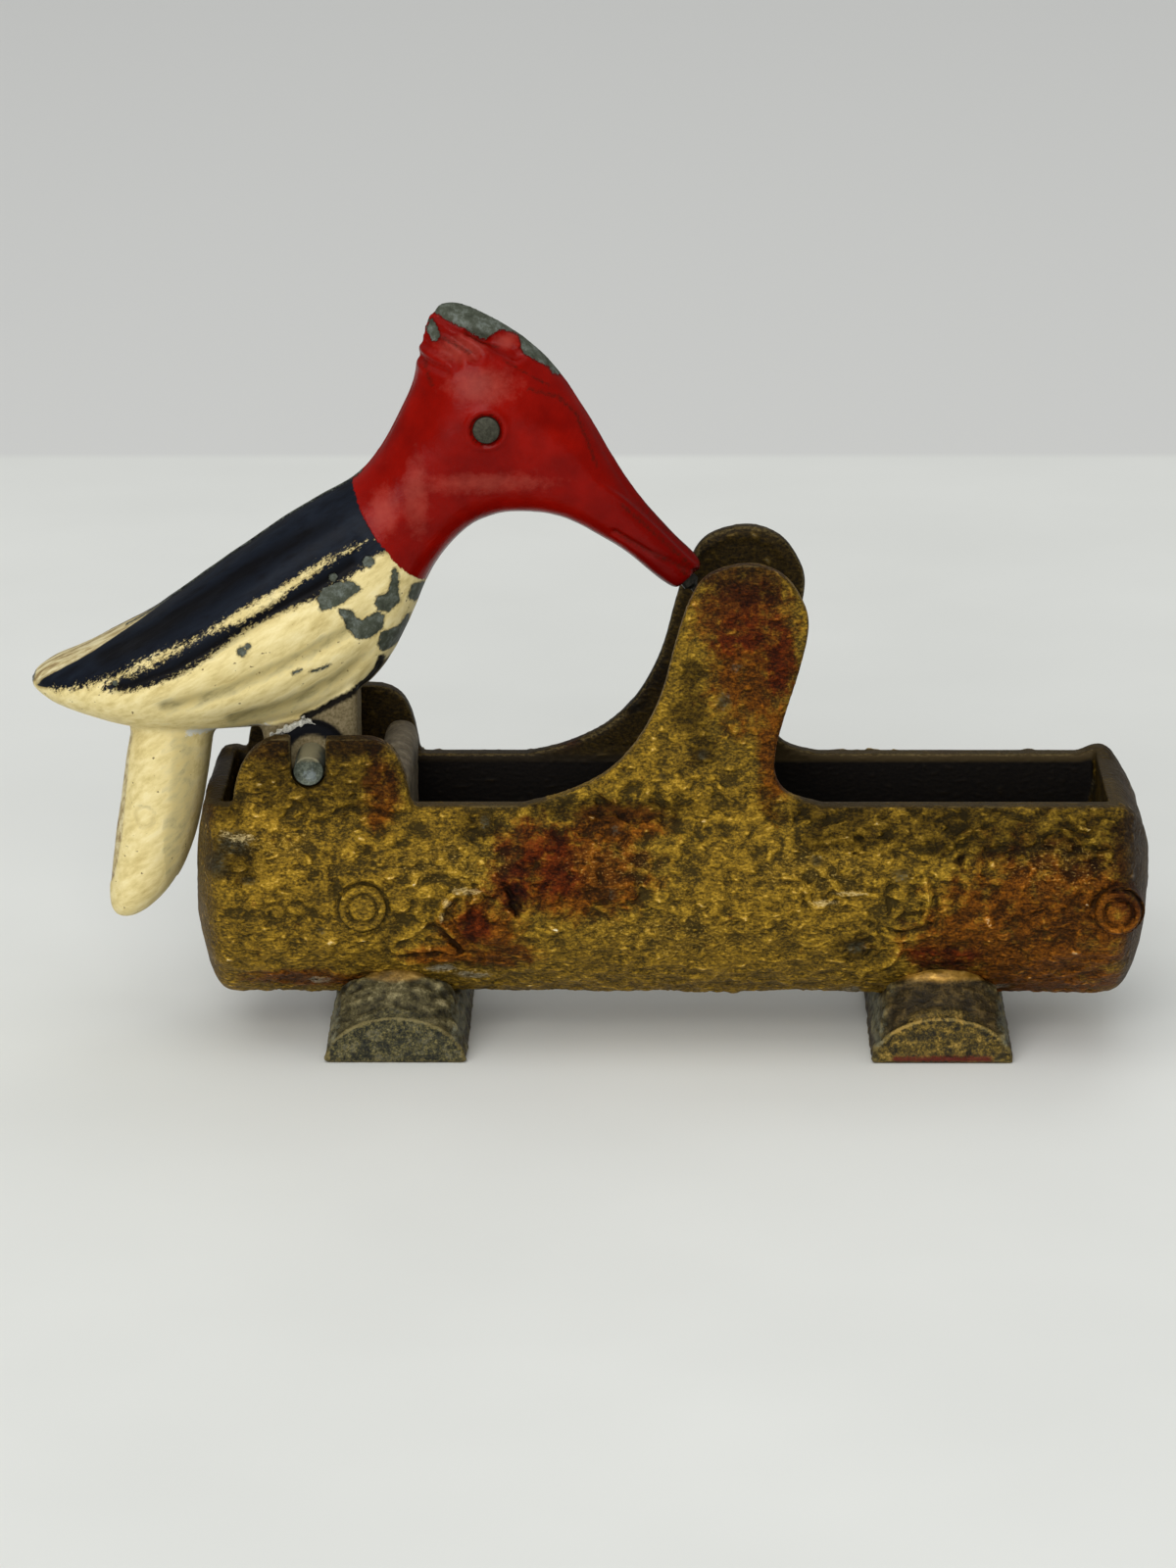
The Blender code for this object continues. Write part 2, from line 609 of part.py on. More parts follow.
def build_needle(material, parent):
    """The stub in the beak's end with its short sharp needle."""
    place, direction = needle_frame()
    side = Vector((0.0, 1.0, 0.0))
    other = direction.cross(side)
    profile = (
        (-NEEDLE_IN, NEEDLE_STUB_RADIUS),
        (NEEDLE_STUB_OUT, NEEDLE_STUB_RADIUS),
        (NEEDLE_STUB_OUT + NEEDLE_RADIUS, NEEDLE_RADIUS),
        (NEEDLE_OUT - NEEDLE_POINT, NEEDLE_RADIUS),
        (NEEDLE_OUT, NEEDLE_TIP_RADIUS),
    )
    steps = ROUND_STEPS // 2
    rings = []
    for along, radius in profile:
        ring = []
        for step in range(steps):
            angle = math.tau * step / steps
            arm = side * math.cos(angle) + other * math.sin(angle)
            ring.append(place + direction * along + arm * radius)
        rings.append(ring)
    return finish(loft("needle", rings), "beak_needle", material, parent)


def build_eye(name, side, material, parent):
    """A plain metal stud set in the head."""
    outer = EYE_STAND_OFF + EYE_PROUD
    stud = rod(name, eye_place(side, outer - EYE_LENGTH), eye_place(side, outer), EYE_RADIUS)
    return finish(stud, name, material, parent)


def build():
    """Build the whole dispenser at rest, with the bird's tail against the log's end."""
    clear_scene()
    bronze_paint = make_material("bronze_paint", (0.26, 0.17, 0.04), 0.45, 0.6)
    foot_paint = make_material("foot_paint", (0.12, 0.10, 0.05), 0.55, 0.5)
    dusty_metal = make_material("dusty_metal", (0.23, 0.20, 0.15), 0.7, 0.2)
    bird_paint = make_material("bird_paint", (0.62, 0.53, 0.33), 0.4, 0.0)
    bare_steel = make_material("bare_steel", (0.25, 0.27, 0.27), 0.4, 0.9)
    dark_steel = make_material("dark_steel", (0.05, 0.05, 0.05), 0.4, 0.9)
    eye_metal = make_material("eye_metal", (0.14, 0.15, 0.12), 0.5, 0.7)

    log = bpy.data.objects.new("log", None)
    COLLECTION.objects.link(log)
    bird = bpy.data.objects.new("bird", None)
    COLLECTION.objects.link(bird)
    bird.location = (PIN_X, 0.0, PIN_Z)

    build_log(bronze_paint, log)
    build_partition(dusty_metal, log)
    build_foot("foot_left", LEFT_RIM_X + FOOT_INSET, foot_paint, log)
    build_foot("foot_right", RIGHT_RIM_X - FOOT_INSET, foot_paint, log)
    build_bird(bird_paint, bird)
    build_pin(bare_steel, bird)
    build_needle(dark_steel, bird)
    build_eye("eye_near", -1, eye_metal, bird)
    build_eye("eye_far", 1, eye_metal, bird)


build()
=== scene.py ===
"""Toothpick dispenser: a cast bird tips on a pin over a hollow cast log, in worn paint.

All tables are in millimetres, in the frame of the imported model, unless a comment says otherwise.
"""
import math

import bpy
import numpy as np
from mathutils import Matrix, Vector, noise


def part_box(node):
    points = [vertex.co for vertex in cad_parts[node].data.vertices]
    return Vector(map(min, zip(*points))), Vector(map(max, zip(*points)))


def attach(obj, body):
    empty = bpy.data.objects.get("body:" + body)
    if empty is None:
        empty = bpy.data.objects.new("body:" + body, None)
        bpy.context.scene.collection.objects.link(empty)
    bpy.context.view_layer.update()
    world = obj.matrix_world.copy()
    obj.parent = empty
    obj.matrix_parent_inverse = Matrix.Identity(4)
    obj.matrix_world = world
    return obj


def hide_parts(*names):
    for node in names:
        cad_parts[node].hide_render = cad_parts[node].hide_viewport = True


MM = 0.001
PER_MM = 1.0 / MM
COLLECTION = bpy.context.scene.collection

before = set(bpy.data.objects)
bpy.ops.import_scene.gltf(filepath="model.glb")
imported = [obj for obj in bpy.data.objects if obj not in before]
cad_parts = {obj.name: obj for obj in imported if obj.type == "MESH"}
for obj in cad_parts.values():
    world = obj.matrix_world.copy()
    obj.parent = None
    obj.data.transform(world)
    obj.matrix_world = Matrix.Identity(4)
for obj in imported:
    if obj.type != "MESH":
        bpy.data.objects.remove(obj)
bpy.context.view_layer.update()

# Sizes that the pieces share with the solids
PIN = (-29.70, 0.0, 31.70)
LOG_MIDDLE_X = 8.56
LOG_LENGTH = 95.0
LOG_AXIS_Z = 18.77
LOG_RADIUS = 14.45
RIM_Z = 27.84
FOOT_CENTRES_X = (-20.74, 37.86)
PIN_RADIUS = 1.6
PIN_LENGTH = 23.0
STUD_RADIUS = 1.46
STUD_HEIGHT = 1.4


# Helpers for modelling


def pick(*things):
    """Select these objects alone and make the first one active."""
    bpy.ops.object.select_all(action="DESELECT")
    for thing in things:
        thing.select_set(True)
    bpy.context.view_layer.objects.active = things[0]


def settle(thing):
    """Put an object's place into its mesh, so that the object sits at the origin."""
    pick(thing)
    bpy.ops.object.transform_apply(location=True, rotation=True, scale=True)
    return thing


def named(name):
    """Name the active object and its mesh."""
    thing = bpy.context.object
    thing.name = name
    thing.data.name = name
    return thing


def shape(thing, kind, **settings):
    """Add a modifier with its settings and apply it."""
    pick(thing)
    modifier = thing.modifiers.new(kind.title(), kind)
    for name, value in settings.items():
        setattr(modifier, name, value)
    bpy.ops.object.modifier_apply(modifier=modifier.name)
    return thing


def join(target, *others):
    """Join other meshes to the first one."""
    pick(target, *others)
    bpy.ops.object.join()
    return target


def points(thing):
    """The corners of a mesh in millimetres."""
    flat = np.empty(len(thing.data.vertices) * 3)
    thing.data.vertices.foreach_get("co", flat)
    return flat.reshape(-1, 3) / MM


def normals(thing):
    """The normal at each corner of a mesh."""
    flat = np.empty(len(thing.data.vertices) * 3)
    thing.data.vertex_normals.foreach_get("vector", flat)
    return flat.reshape(-1, 3)


def move_to(thing, places):
    """Give the corners of a mesh new places in millimetres."""
    thing.data.vertices.foreach_set("co", (places * MM).ravel())
    thing.data.update()


def push(thing, amount):
    """Sculpt: move each corner out along its normal by its own amount in millimetres."""
    move_to(thing, points(thing) + normals(thing) * amount[:, None])


def layer(thing, name, values):
    """Keep a value for each corner, for the materials to read."""
    attribute = thing.data.attributes.new(name, "FLOAT", "POINT")
    attribute.data.foreach_set("value", np.asarray(values, np.float32))


def ease(values, low, high):
    """0 below low, 1 above high, and a soft step between them."""
    share = np.clip((values - low) / (high - low), 0.0, 1.0)
    return share * share * (3.0 - 2.0 * share)


def ridge(gap, half):
    """1 where the gap is 0, falling off smoothly to both sides over about the half width."""
    return np.exp(-(gap / half) ** 2)


def line_distance(places, line, closed=False):
    """Distance from each place to a line through the given points, in two or three dimensions."""
    corners = [np.array(corner, float) for corner in line]
    if closed:
        corners.append(corners[0])
    nearest = np.full(len(places), 1e9)
    for start, end in zip(corners, corners[1:]):
        along = end - start
        share = np.clip(((places - start) @ along) / max(along @ along, 1e-9), 0.0, 1.0)
        gap = np.linalg.norm(places - start - share[:, None] * along, axis=1)
        nearest = np.minimum(nearest, gap)
    return nearest


def area_depth(flat, outline):
    """How far each flat place lies inside a closed outline; negative outside it."""
    inside = np.zeros(len(flat), bool)
    x, z = flat[:, 0], flat[:, 1]
    for (x0, z0), (x1, z1) in zip(outline, outline[1:] + outline[:1]):
        crosses = (z0 > z) != (z1 > z)
        reach = (x1 - x0) * (z - z0) / ((z1 - z0) or 1e-9) + x0
        inside ^= crosses & (x < reach)
    return np.where(inside, 1.0, -1.0) * line_distance(flat, outline, closed=True)


def noise_spots(places, size, seed):
    """Where to read a noise whose features are of the given size, for each place."""
    shift = Vector((seed, seed * 2.0, seed * 3.0))
    return [Vector(place) / size + shift for place in places]


def crinkled(places, size, seed):
    """Crumpled noise for each place, about -1 to 1, with sharp creases of about the given size."""
    values = []
    for spot in noise_spots(places, size, seed):
        values.append(noise.ridged_multi_fractal(spot, 0.7, 2.2, 3, 1.0, 1.6))
    values = np.array(values)
    return np.clip((values - values.mean()) / values.std(), -2.2, 2.2)


def pebbly(places, size, seed):
    """Rounded lumps with grooves between them, about -1 to 1."""
    values = []
    for spot in noise_spots(places, size, seed):
        first, second = noise.voronoi(spot)[0][:2]
        values.append(min(second - first, 0.45))
    values = np.array(values)
    return (values - values.mean()) / values.std()


def cloudy(places, size, seed):
    """Soft noise for each place, about -1 to 1."""
    return np.array([noise.noise(spot) for spot in noise_spots(places, size, seed)])


def neighbour_mean(thing, values):
    """The mean of the values at each corner's neighbours."""
    edges = np.empty(len(thing.data.edges) * 2, np.int64)
    thing.data.edges.foreach_get("vertices", edges)
    edges = edges.reshape(-1, 2)
    total = np.zeros_like(values)
    count = np.zeros(len(values))
    for here, there in ((0, 1), (1, 0)):
        np.add.at(total, edges[:, here], values[edges[:, there]])
        np.add.at(count, edges[:, here], 1.0)
    return total / np.maximum(count, 1.0).reshape((-1,) + (1,) * (values.ndim - 1))


def sharpness(thing, rounds):
    """How far each corner stands out of its surroundings in millimetres; negative in hollows."""
    places = points(thing)
    mean = places
    for _ in range(rounds):
        mean = neighbour_mean(thing, mean)
    return ((places - mean) * normals(thing)).sum(axis=1)


def cast_copy(node, name, grain, rounds=3):
    """Copy a CAD node, merge its corners and cover it evenly with small faces, ready to sculpt."""
    thing = bpy.data.objects.new(name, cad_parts[node].data.copy())
    thing.data.name = name
    COLLECTION.objects.link(thing)
    thing.data.materials.clear()
    pick(thing)
    bpy.ops.object.mode_set(mode="EDIT")
    bpy.ops.mesh.select_all(action="SELECT")
    bpy.ops.mesh.remove_doubles(threshold=0.001 * MM)
    bpy.ops.object.mode_set(mode="OBJECT")
    shape(thing, "REMESH", mode="VOXEL", voxel_size=grain * MM)
    shape(thing, "SMOOTH", factor=0.5, iterations=rounds)
    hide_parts(node)
    return thing


def edit_faces(thing, flags):
    """Open a mesh for editing with the flagged faces selected."""
    pick(thing)
    bpy.ops.object.mode_set(mode="EDIT")
    bpy.ops.mesh.select_mode(type="FACE")
    bpy.ops.mesh.select_all(action="DESELECT")
    bpy.ops.object.mode_set(mode="OBJECT")
    thing.data.polygons.foreach_set("select", flags)
    bpy.ops.object.mode_set(mode="EDIT")


# Plain walls of the trough: their greatest radius, depth under the rim and half length,
# and the share of their faces that is kept
PLAIN_RADIUS = 12.2
PLAIN_DEPTH = 1.2
PLAIN_HALF_LENGTH = 48.0
PLAIN_SHARE = 0.12


def thin_inside(thing):
    """Take most faces off the cavity's plain walls, which need no fine mesh."""
    places = points(thing)
    inside = np.hypot(places[:, 1], places[:, 2] - LOG_AXIS_Z) < PLAIN_RADIUS
    inside &= places[:, 2] < RIM_Z - PLAIN_DEPTH
    inside &= np.abs(places[:, 0] - LOG_MIDDLE_X) < PLAIN_HALF_LENGTH
    flags = [all(inside[index] for index in face.vertices) for face in thing.data.polygons]
    edit_faces(thing, flags)
    bpy.ops.mesh.decimate(ratio=PLAIN_SHARE)
    bpy.ops.object.mode_set(mode="OBJECT")


def smooth_by_angle(thing):
    """Shade smooth, but keep the true edges sharp."""
    pick(thing)
    bpy.ops.object.shade_smooth_by_angle(angle=math.radians(35.0))


def turn_y(angle, centre):
    """Turn the selection about Y, from +Z toward +X. With no window the operator turns the other way."""
    bpy.ops.transform.rotate(value=-angle, orient_axis="Y", center_override=centre)


def swept(name, stations, segments):
    """Model a closed body from one disc, extruded, sized, turned and moved from station to station.

    A station is the section's upper point (x, z), its lower point, its half width, and how much
    it is pinched in toward the top.
    """
    bpy.ops.mesh.primitive_circle_add(
        vertices=segments, radius=MM, fill_type="NGON", rotation=(0.0, math.pi / 2, 0.0)
    )
    thing = settle(named(name))
    bpy.ops.object.mode_set(mode="EDIT")
    bpy.ops.mesh.select_all(action="SELECT")
    centre = Vector((0.0, 0.0, 0.0))
    lean, high, wide = 0.0, 1.0, 1.0
    frames = []
    for index, (top_x, top_z, low_x, low_z, half_width, pinch) in enumerate(stations):
        top = Vector((top_x, 0.0, top_z)) * MM
        low = Vector((low_x, 0.0, low_z)) * MM
        middle = (top + low) / 2
        rise = (top - low) / 2
        step = {"value": middle - centre}
        if index:
            bpy.ops.mesh.extrude_region_move(TRANSFORM_OT_translate=step)
        else:
            bpy.ops.transform.translate(**step)
        turn_y(-lean, middle)
        new_high = rise.length / MM
        bpy.ops.transform.resize(
            value=(1.0, half_width / wide, new_high / high), center_override=middle
        )
        new_lean = math.atan2(rise.x, rise.z)
        turn_y(new_lean, middle)
        centre, lean, high, wide = middle, new_lean, new_high, half_width
        frames.append((middle, rise, pinch))
    bpy.ops.mesh.select_all(action="SELECT")
    bpy.ops.mesh.normals_make_consistent(inside=False)
    bpy.ops.object.mode_set(mode="OBJECT")
    for index, (middle, rise, pinch) in enumerate(frames):
        for vertex in thing.data.vertices[index * segments:(index + 1) * segments]:
            up = (vertex.co - middle).dot(rise) / rise.length_squared
            vertex.co.y *= 1.0 - pinch * max(up, 0.0) ** 1.5
    return thing


def beads(name, line, radius):
    """A round bead along a line, thin at both ends: a curve with a bevel, made a mesh."""
    curve = bpy.data.curves.new(name, "CURVE")
    curve.dimensions = "3D"
    curve.bevel_depth = radius * MM
    curve.bevel_resolution = 3
    curve.use_fill_caps = True
    spline = curve.splines.new("NURBS")
    spline.points.add(len(line) - 1)
    for index, (point, place) in enumerate(zip(spline.points, line)):
        point.co = (*(Vector(place) * MM), 1.0)
        point.radius = 0.35 + 0.65 * math.sin(math.pi * index / (len(line) - 1)) ** 0.7
    spline.use_endpoint_u = True
    spline.order_u = 3
    thing = bpy.data.objects.new(name, curve)
    COLLECTION.objects.link(thing)
    pick(thing)
    bpy.ops.object.convert(target="MESH")
    return bpy.context.object


# Helpers for materials


def linear(code):
    """Turn an sRGB hex colour into the linear colour that a socket takes."""
    parts = [int(code[index:index + 2], 16) / 255.0 for index in (1, 3, 5)]
    return tuple(
        part / 12.92 if part <= 0.04045 else ((part + 0.055) / 1.055) ** 2.4 for part in parts
    ) + (1.0,)


def node(tree, kind, inputs=None, stops=None, **settings):
    """Add a node with its settings and links. An input takes a number, a hex colour or a socket."""
    made = tree.nodes.new("ShaderNode" + kind)
    for name, value in settings.items():
        setattr(made, name, value)
    for key, value in (inputs or {}).items():
        if isinstance(value, bpy.types.NodeSocket):
            tree.links.new(value, made.inputs[key])
        elif isinstance(value, str):
            made.inputs[key].default_value = linear(value)
        else:
            made.inputs[key].default_value = value
    if stops:
        ramp = made.color_ramp.elements
        while len(ramp) < len(stops):
            ramp.new(0.5)
        for element, (place, code) in zip(ramp, stops):
            element.position = place
            element.color = linear(code)
    return made


def material(name):
    """A new material with its tree, its Principled shader and its Object coordinates."""
    made = bpy.data.materials.new(name)
    made.use_nodes = True
    tree = made.node_tree
    place = node(tree, "TexCoord").outputs["Object"]
    return made, tree, tree.nodes["Principled BSDF"], place


def coat(thing, finish, body):
    """Give a piece its material and the body that it moves with."""
    thing.data.materials.clear()
    thing.data.materials.append(finish)
    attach(thing, body)


# Materials


def speckle(tree, place, size, detail=3.0, roughness=0.6, **settings):
    """The factor of a noise texture whose features are about this many millimetres."""
    inputs = {"Vector": place, "Scale": PER_MM / size, "Detail": detail, "Roughness": roughness}
    return node(tree, "TexNoise", inputs, **settings).outputs["Fac"]


def value_of(tree, name):
    """A value that the piece keeps for each corner."""
    return node(tree, "Attribute", attribute_name=name).outputs["Fac"]


def span(tree, value, low, high, to_low=0.0, to_high=1.0):
    """Map a value's range onto another one, held at its ends."""
    inputs = {"Value": value, "From Min": low, "From Max": high, "To Min": to_low, "To Max": to_high}
    return node(tree, "MapRange", inputs).outputs["Result"]


def sums(tree, operation, first, second):
    """Two values worked into one."""
    return node(tree, "Math", {0: first, 1: second}, operation=operation).outputs[0]


def plus(tree, first, second):
    """The sum of two values."""
    return sums(tree, "ADD", first, second)


def times(tree, first, second):
    """The product of two values."""
    return sums(tree, "MULTIPLY", first, second)


def ramp(tree, factor, stops):
    """A colour for each factor, from stops of a place and a hex colour."""
    return node(tree, "ValToRGB", {"Fac": factor}, stops).outputs["Color"]


def centred(tree, factor, spread, low=0.3, high=0.7):
    """A noise's factor as a value about 0, up to the spread either way."""
    return span(tree, factor, low, high, -spread, spread)


def ragged(tree, name, factor, spread, low, high, most=1.0):
    """The share of a coat from a value kept for each corner, with an edge made ragged by a noise."""
    value = plus(tree, value_of(tree, name), centred(tree, factor, spread))
    return span(tree, value, low, high, 0.0, most)


def stretched(tree, place, scale):
    """The coordinates with x drawn out, for marks that run along the piece."""
    return node(tree, "Mapping", {"Vector": place, "Scale": (scale, 1.0, 1.0)}).outputs["Vector"]


def paint(tree, shader, colour, bumped, rough, metallic=0.0, specular=0.5):
    """Join the colour, bump and roughness to the shader and set its constants."""
    tree.links.new(colour, shader.inputs["Base Color"])
    tree.links.new(bumped, shader.inputs["Normal"])
    if isinstance(rough, float):
        shader.inputs["Roughness"].default_value = rough
    else:
        tree.links.new(rough, shader.inputs["Roughness"])
    shader.inputs["Metallic"].default_value = metallic
    shader.inputs["Specular IOR Level"].default_value = specular


def blend(tree, factor, first, second, kind="MIX"):
    """Mix two colours."""
    inputs = {"Factor": factor, 6: first, 7: second}
    return node(tree, "Mix", inputs, data_type="RGBA", blend_type=kind).outputs[2]


def bump(tree, height, distance, under=None, strength=1.0):
    """A bump of this many millimetres, over another one if there is one."""
    inputs = {"Height": height, "Distance": distance * MM, "Strength": strength}
    if under:
        inputs["Normal"] = under
    return node(tree, "Bump", inputs).outputs["Normal"]


def bronze_lacquer():
    """Bronze powder in lacquer over a rough casting: gold on the high spots, with painted glints at the
    palest stops, and dark in the pits, partly as painted shade.
    """
    made, tree, shader, place = material("bronze_powder_lacquer")
    grain_place = stretched(tree, place, 0.6)
    crinkle = speckle(tree, grain_place, 0.7, 5.0, 0.75, noise_type="RIDGED_MULTIFRACTAL")
    fine = speckle(tree, grain_place, 0.24, 4.0, 0.75)
    coarse = speckle(tree, place, 4.5, 4.0, 0.6)
    pits = span(tree, speckle(tree, place, 0.6, 4.0, 0.7), 0.3, 0.42, 1.0, 0.0)
    high = times(tree, value_of(tree, "relief"), 0.9)
    high = plus(tree, high, centred(tree, crinkle, 0.42, 0.1, 0.8))
    high = plus(tree, high, centred(tree, fine, 0.5, 0.25, 0.75))
    high = plus(tree, high, centred(tree, coarse, 0.06))
    high = sums(tree, "SUBTRACT", high, times(tree, pits, 0.2))
    high = span(tree, high, -0.66, 0.66)
    # Colour by height: dark in the pits partly as painted shade, and the palest stops painted glints
    gold = [(0.0, "#3c3011"), (0.2, "#745a1a"), (0.46, "#a98524"), (0.72, "#dcb250"), (1.0, "#fff5cc")]
    colour = ramp(tree, high, gold)

    # Lacquer colours laid over the bronze, ragged and thin on the peaks
    blotch = speckle(tree, place, 2.0, 6.0, 0.75)
    thin = span(tree, high, 0.55, 1.0, 1.0, 0.45)
    for name, tint, most in (
        ("soot", "#a09e92", 0.95),
        ("amber", "#cd9568", 0.95),
        ("rust", "#c48070", 0.9),
        ("plum", "#8b7784", 0.9),
    ):
        share = times(tree, ragged(tree, name, blotch, 0.5, 0.3, 0.9, most), thin)
        colour = blend(tree, share, colour, tint, "MULTIPLY")

    # Bare metal and pale crusts where they broke through, and pale flecks that are painted glints
    grey = ramp(tree, high, [(0.0, "#1a1c17"), (0.4, "#3c3f35"), (0.7, "#62655a"), (1.0, "#a5a89c")])
    for name, second in (("bare", grey), ("crust", "#8f8b7a"), ("pale", "#cdb780"), ("painted_glints", "#d8bd72")):
        colour = blend(tree, ragged(tree, name, fine, 0.5, 0.7, 1.2, 0.85), colour, second)

    # Brown end faces, near black inside as painted shade, a dark rim, and rubbed edges
    dome = ramp(tree, high, [(0.0, "#211710"), (0.5, "#48361b"), (1.0, "#7d643a")])
    colour = blend(tree, value_of(tree, "dome"), colour, dome)
    # Painted shade inside the trough and on the plates' inner faces
    inner = ramp(tree, high, [(0.0, "#050302"), (0.5, "#110c06"), (1.0, "#221909")])
    colour = blend(tree, value_of(tree, "inner"), colour, inner)
    colour = blend(tree, value_of(tree, "rim"), colour, "#382d18")
    colour = blend(tree, ragged(tree, "edge", fine, 0.04, 0.09, 0.15, 0.5), colour, "#6e5f3c")
    rough = span(tree, high, 0.2, 0.9, 0.56, 0.3)
    outside = span(tree, value_of(tree, "inner"), 0.0, 1.0, 1.0, 0.1)
    bumped = bump(tree, crinkle, 0.55, bump(tree, fine, 0.2, None, outside), outside)
    paint(tree, shader, colour, bumped, rough, 0.5, 0.14)
    return made


def foot_lacquer():
    """The same lacquer on the feet, dirtier, with a pale crust of corrosion along the joints."""
    made, tree, shader, place = material("foot_lacquer")
    fine = speckle(tree, place, 0.32, 4.0, 0.75)
    streak = speckle(tree, stretched(tree, place, 0.6), 0.9, 5.0, 0.65)
    coarse = speckle(tree, place, 1.3, 5.0, 0.8)

    # Dirt on the left foot, browner lacquer on the right one
    high = plus(tree, times(tree, streak, 0.5), times(tree, fine, 0.5))
    high = plus(tree, value_of(tree, "relief"), high)
    colour = ramp(tree, high, [(0.3, "#18150c"), (0.44, "#342f1c"), (0.58, "#5c5436"), (0.72, "#978c66")])
    brown = ramp(tree, high, [(0.32, "#130e06"), (0.5, "#302611"), (0.68, "#624f29")])
    colour = blend(tree, value_of(tree, "brown"), colour, brown)

    # The arched front faces, and their lip
    mixed = plus(tree, times(tree, coarse, 0.6), times(tree, fine, 0.4))
    face = ramp(tree, mixed, [(0.39, "#12100a"), (0.47, "#382f15"), (0.54, "#69551f"), (0.64, "#ab8c44")])
    colour = blend(tree, value_of(tree, "face"), colour, face)
    face = ramp(tree, mixed, [(0.39, "#131410"), (0.47, "#302f22"), (0.53, "#59522f"), (0.62, "#a0905a")])
    face = blend(tree, span(tree, coarse, 0.52, 0.6, 0.0, 0.6), face, "#353a3b")
    colour = blend(tree, value_of(tree, "grey_face"), colour, face)
    lip = plus(tree, value_of(tree, "lip"), centred(tree, coarse, 0.6, 0.35, 0.65))
    lip_colour = blend(tree, value_of(tree, "brown"), "#6a6346", "#a8853c")
    colour = blend(tree, span(tree, lip, 0.5, 0.9, 0.0, 0.7), colour, lip_colour)

    # Shiny solder, rubbed edges, pale crust at the joint, and red along the sole
    shiny = value_of(tree, "gold")
    gold = ramp(tree, streak, [(0.3, "#5a4114"), (0.5, "#96702a"), (0.7, "#d3a856")])
    colour = blend(tree, shiny, colour, gold)
    colour = blend(tree, ragged(tree, "edge", fine, 0.03, 0.05, 0.1, 0.35), colour, "#8d7c48")
    crust = ragged(tree, "crust", coarse, 0.6, 0.45, 0.9, 0.7)
    colour = blend(tree, crust, colour, "#7a7963")
    colour = blend(tree, ragged(tree, "rust", fine, 0.4, 0.4, 0.9, 0.9), colour, "#5a1812")
    rough = node(tree, "Mix", {"Factor": shiny, 2: span(tree, fine, 0.3, 0.7, 0.38, 0.6), 3: 0.3})
    dull = span(tree, shiny, 0.0, 1.0, 1.0, 0.25)
    bumped = bump(tree, streak, 0.3, bump(tree, fine, 0.12, None, dull), dull)
    bumped = bump(tree, crust, 0.12, bumped, dull)
    paint(tree, shader, colour, bumped, rough.outputs[0], 0.4, 0.25)
    return made


def dusty_casting():
    """Bare pot metal gone dull, under settled dust."""
    made, tree, shader, place = material("dusty_pot_metal")
    fine = speckle(tree, place, 0.5, 4.0, 0.65)
    coarse = speckle(tree, place, 2.2, 2.0, 0.5)
    mixed = plus(tree, times(tree, fine, 0.5), times(tree, coarse, 0.5))
    colour = ramp(tree, mixed, [(0.3, "#342c1c"), (0.5, "#5d5139"), (0.7, "#857960")])
    paint(tree, shader, colour, bump(tree, fine, 0.12), 0.72, 0.1)
    return made


# Slope of the wing and its flutes
WING_SLOPE = math.radians(33.0)


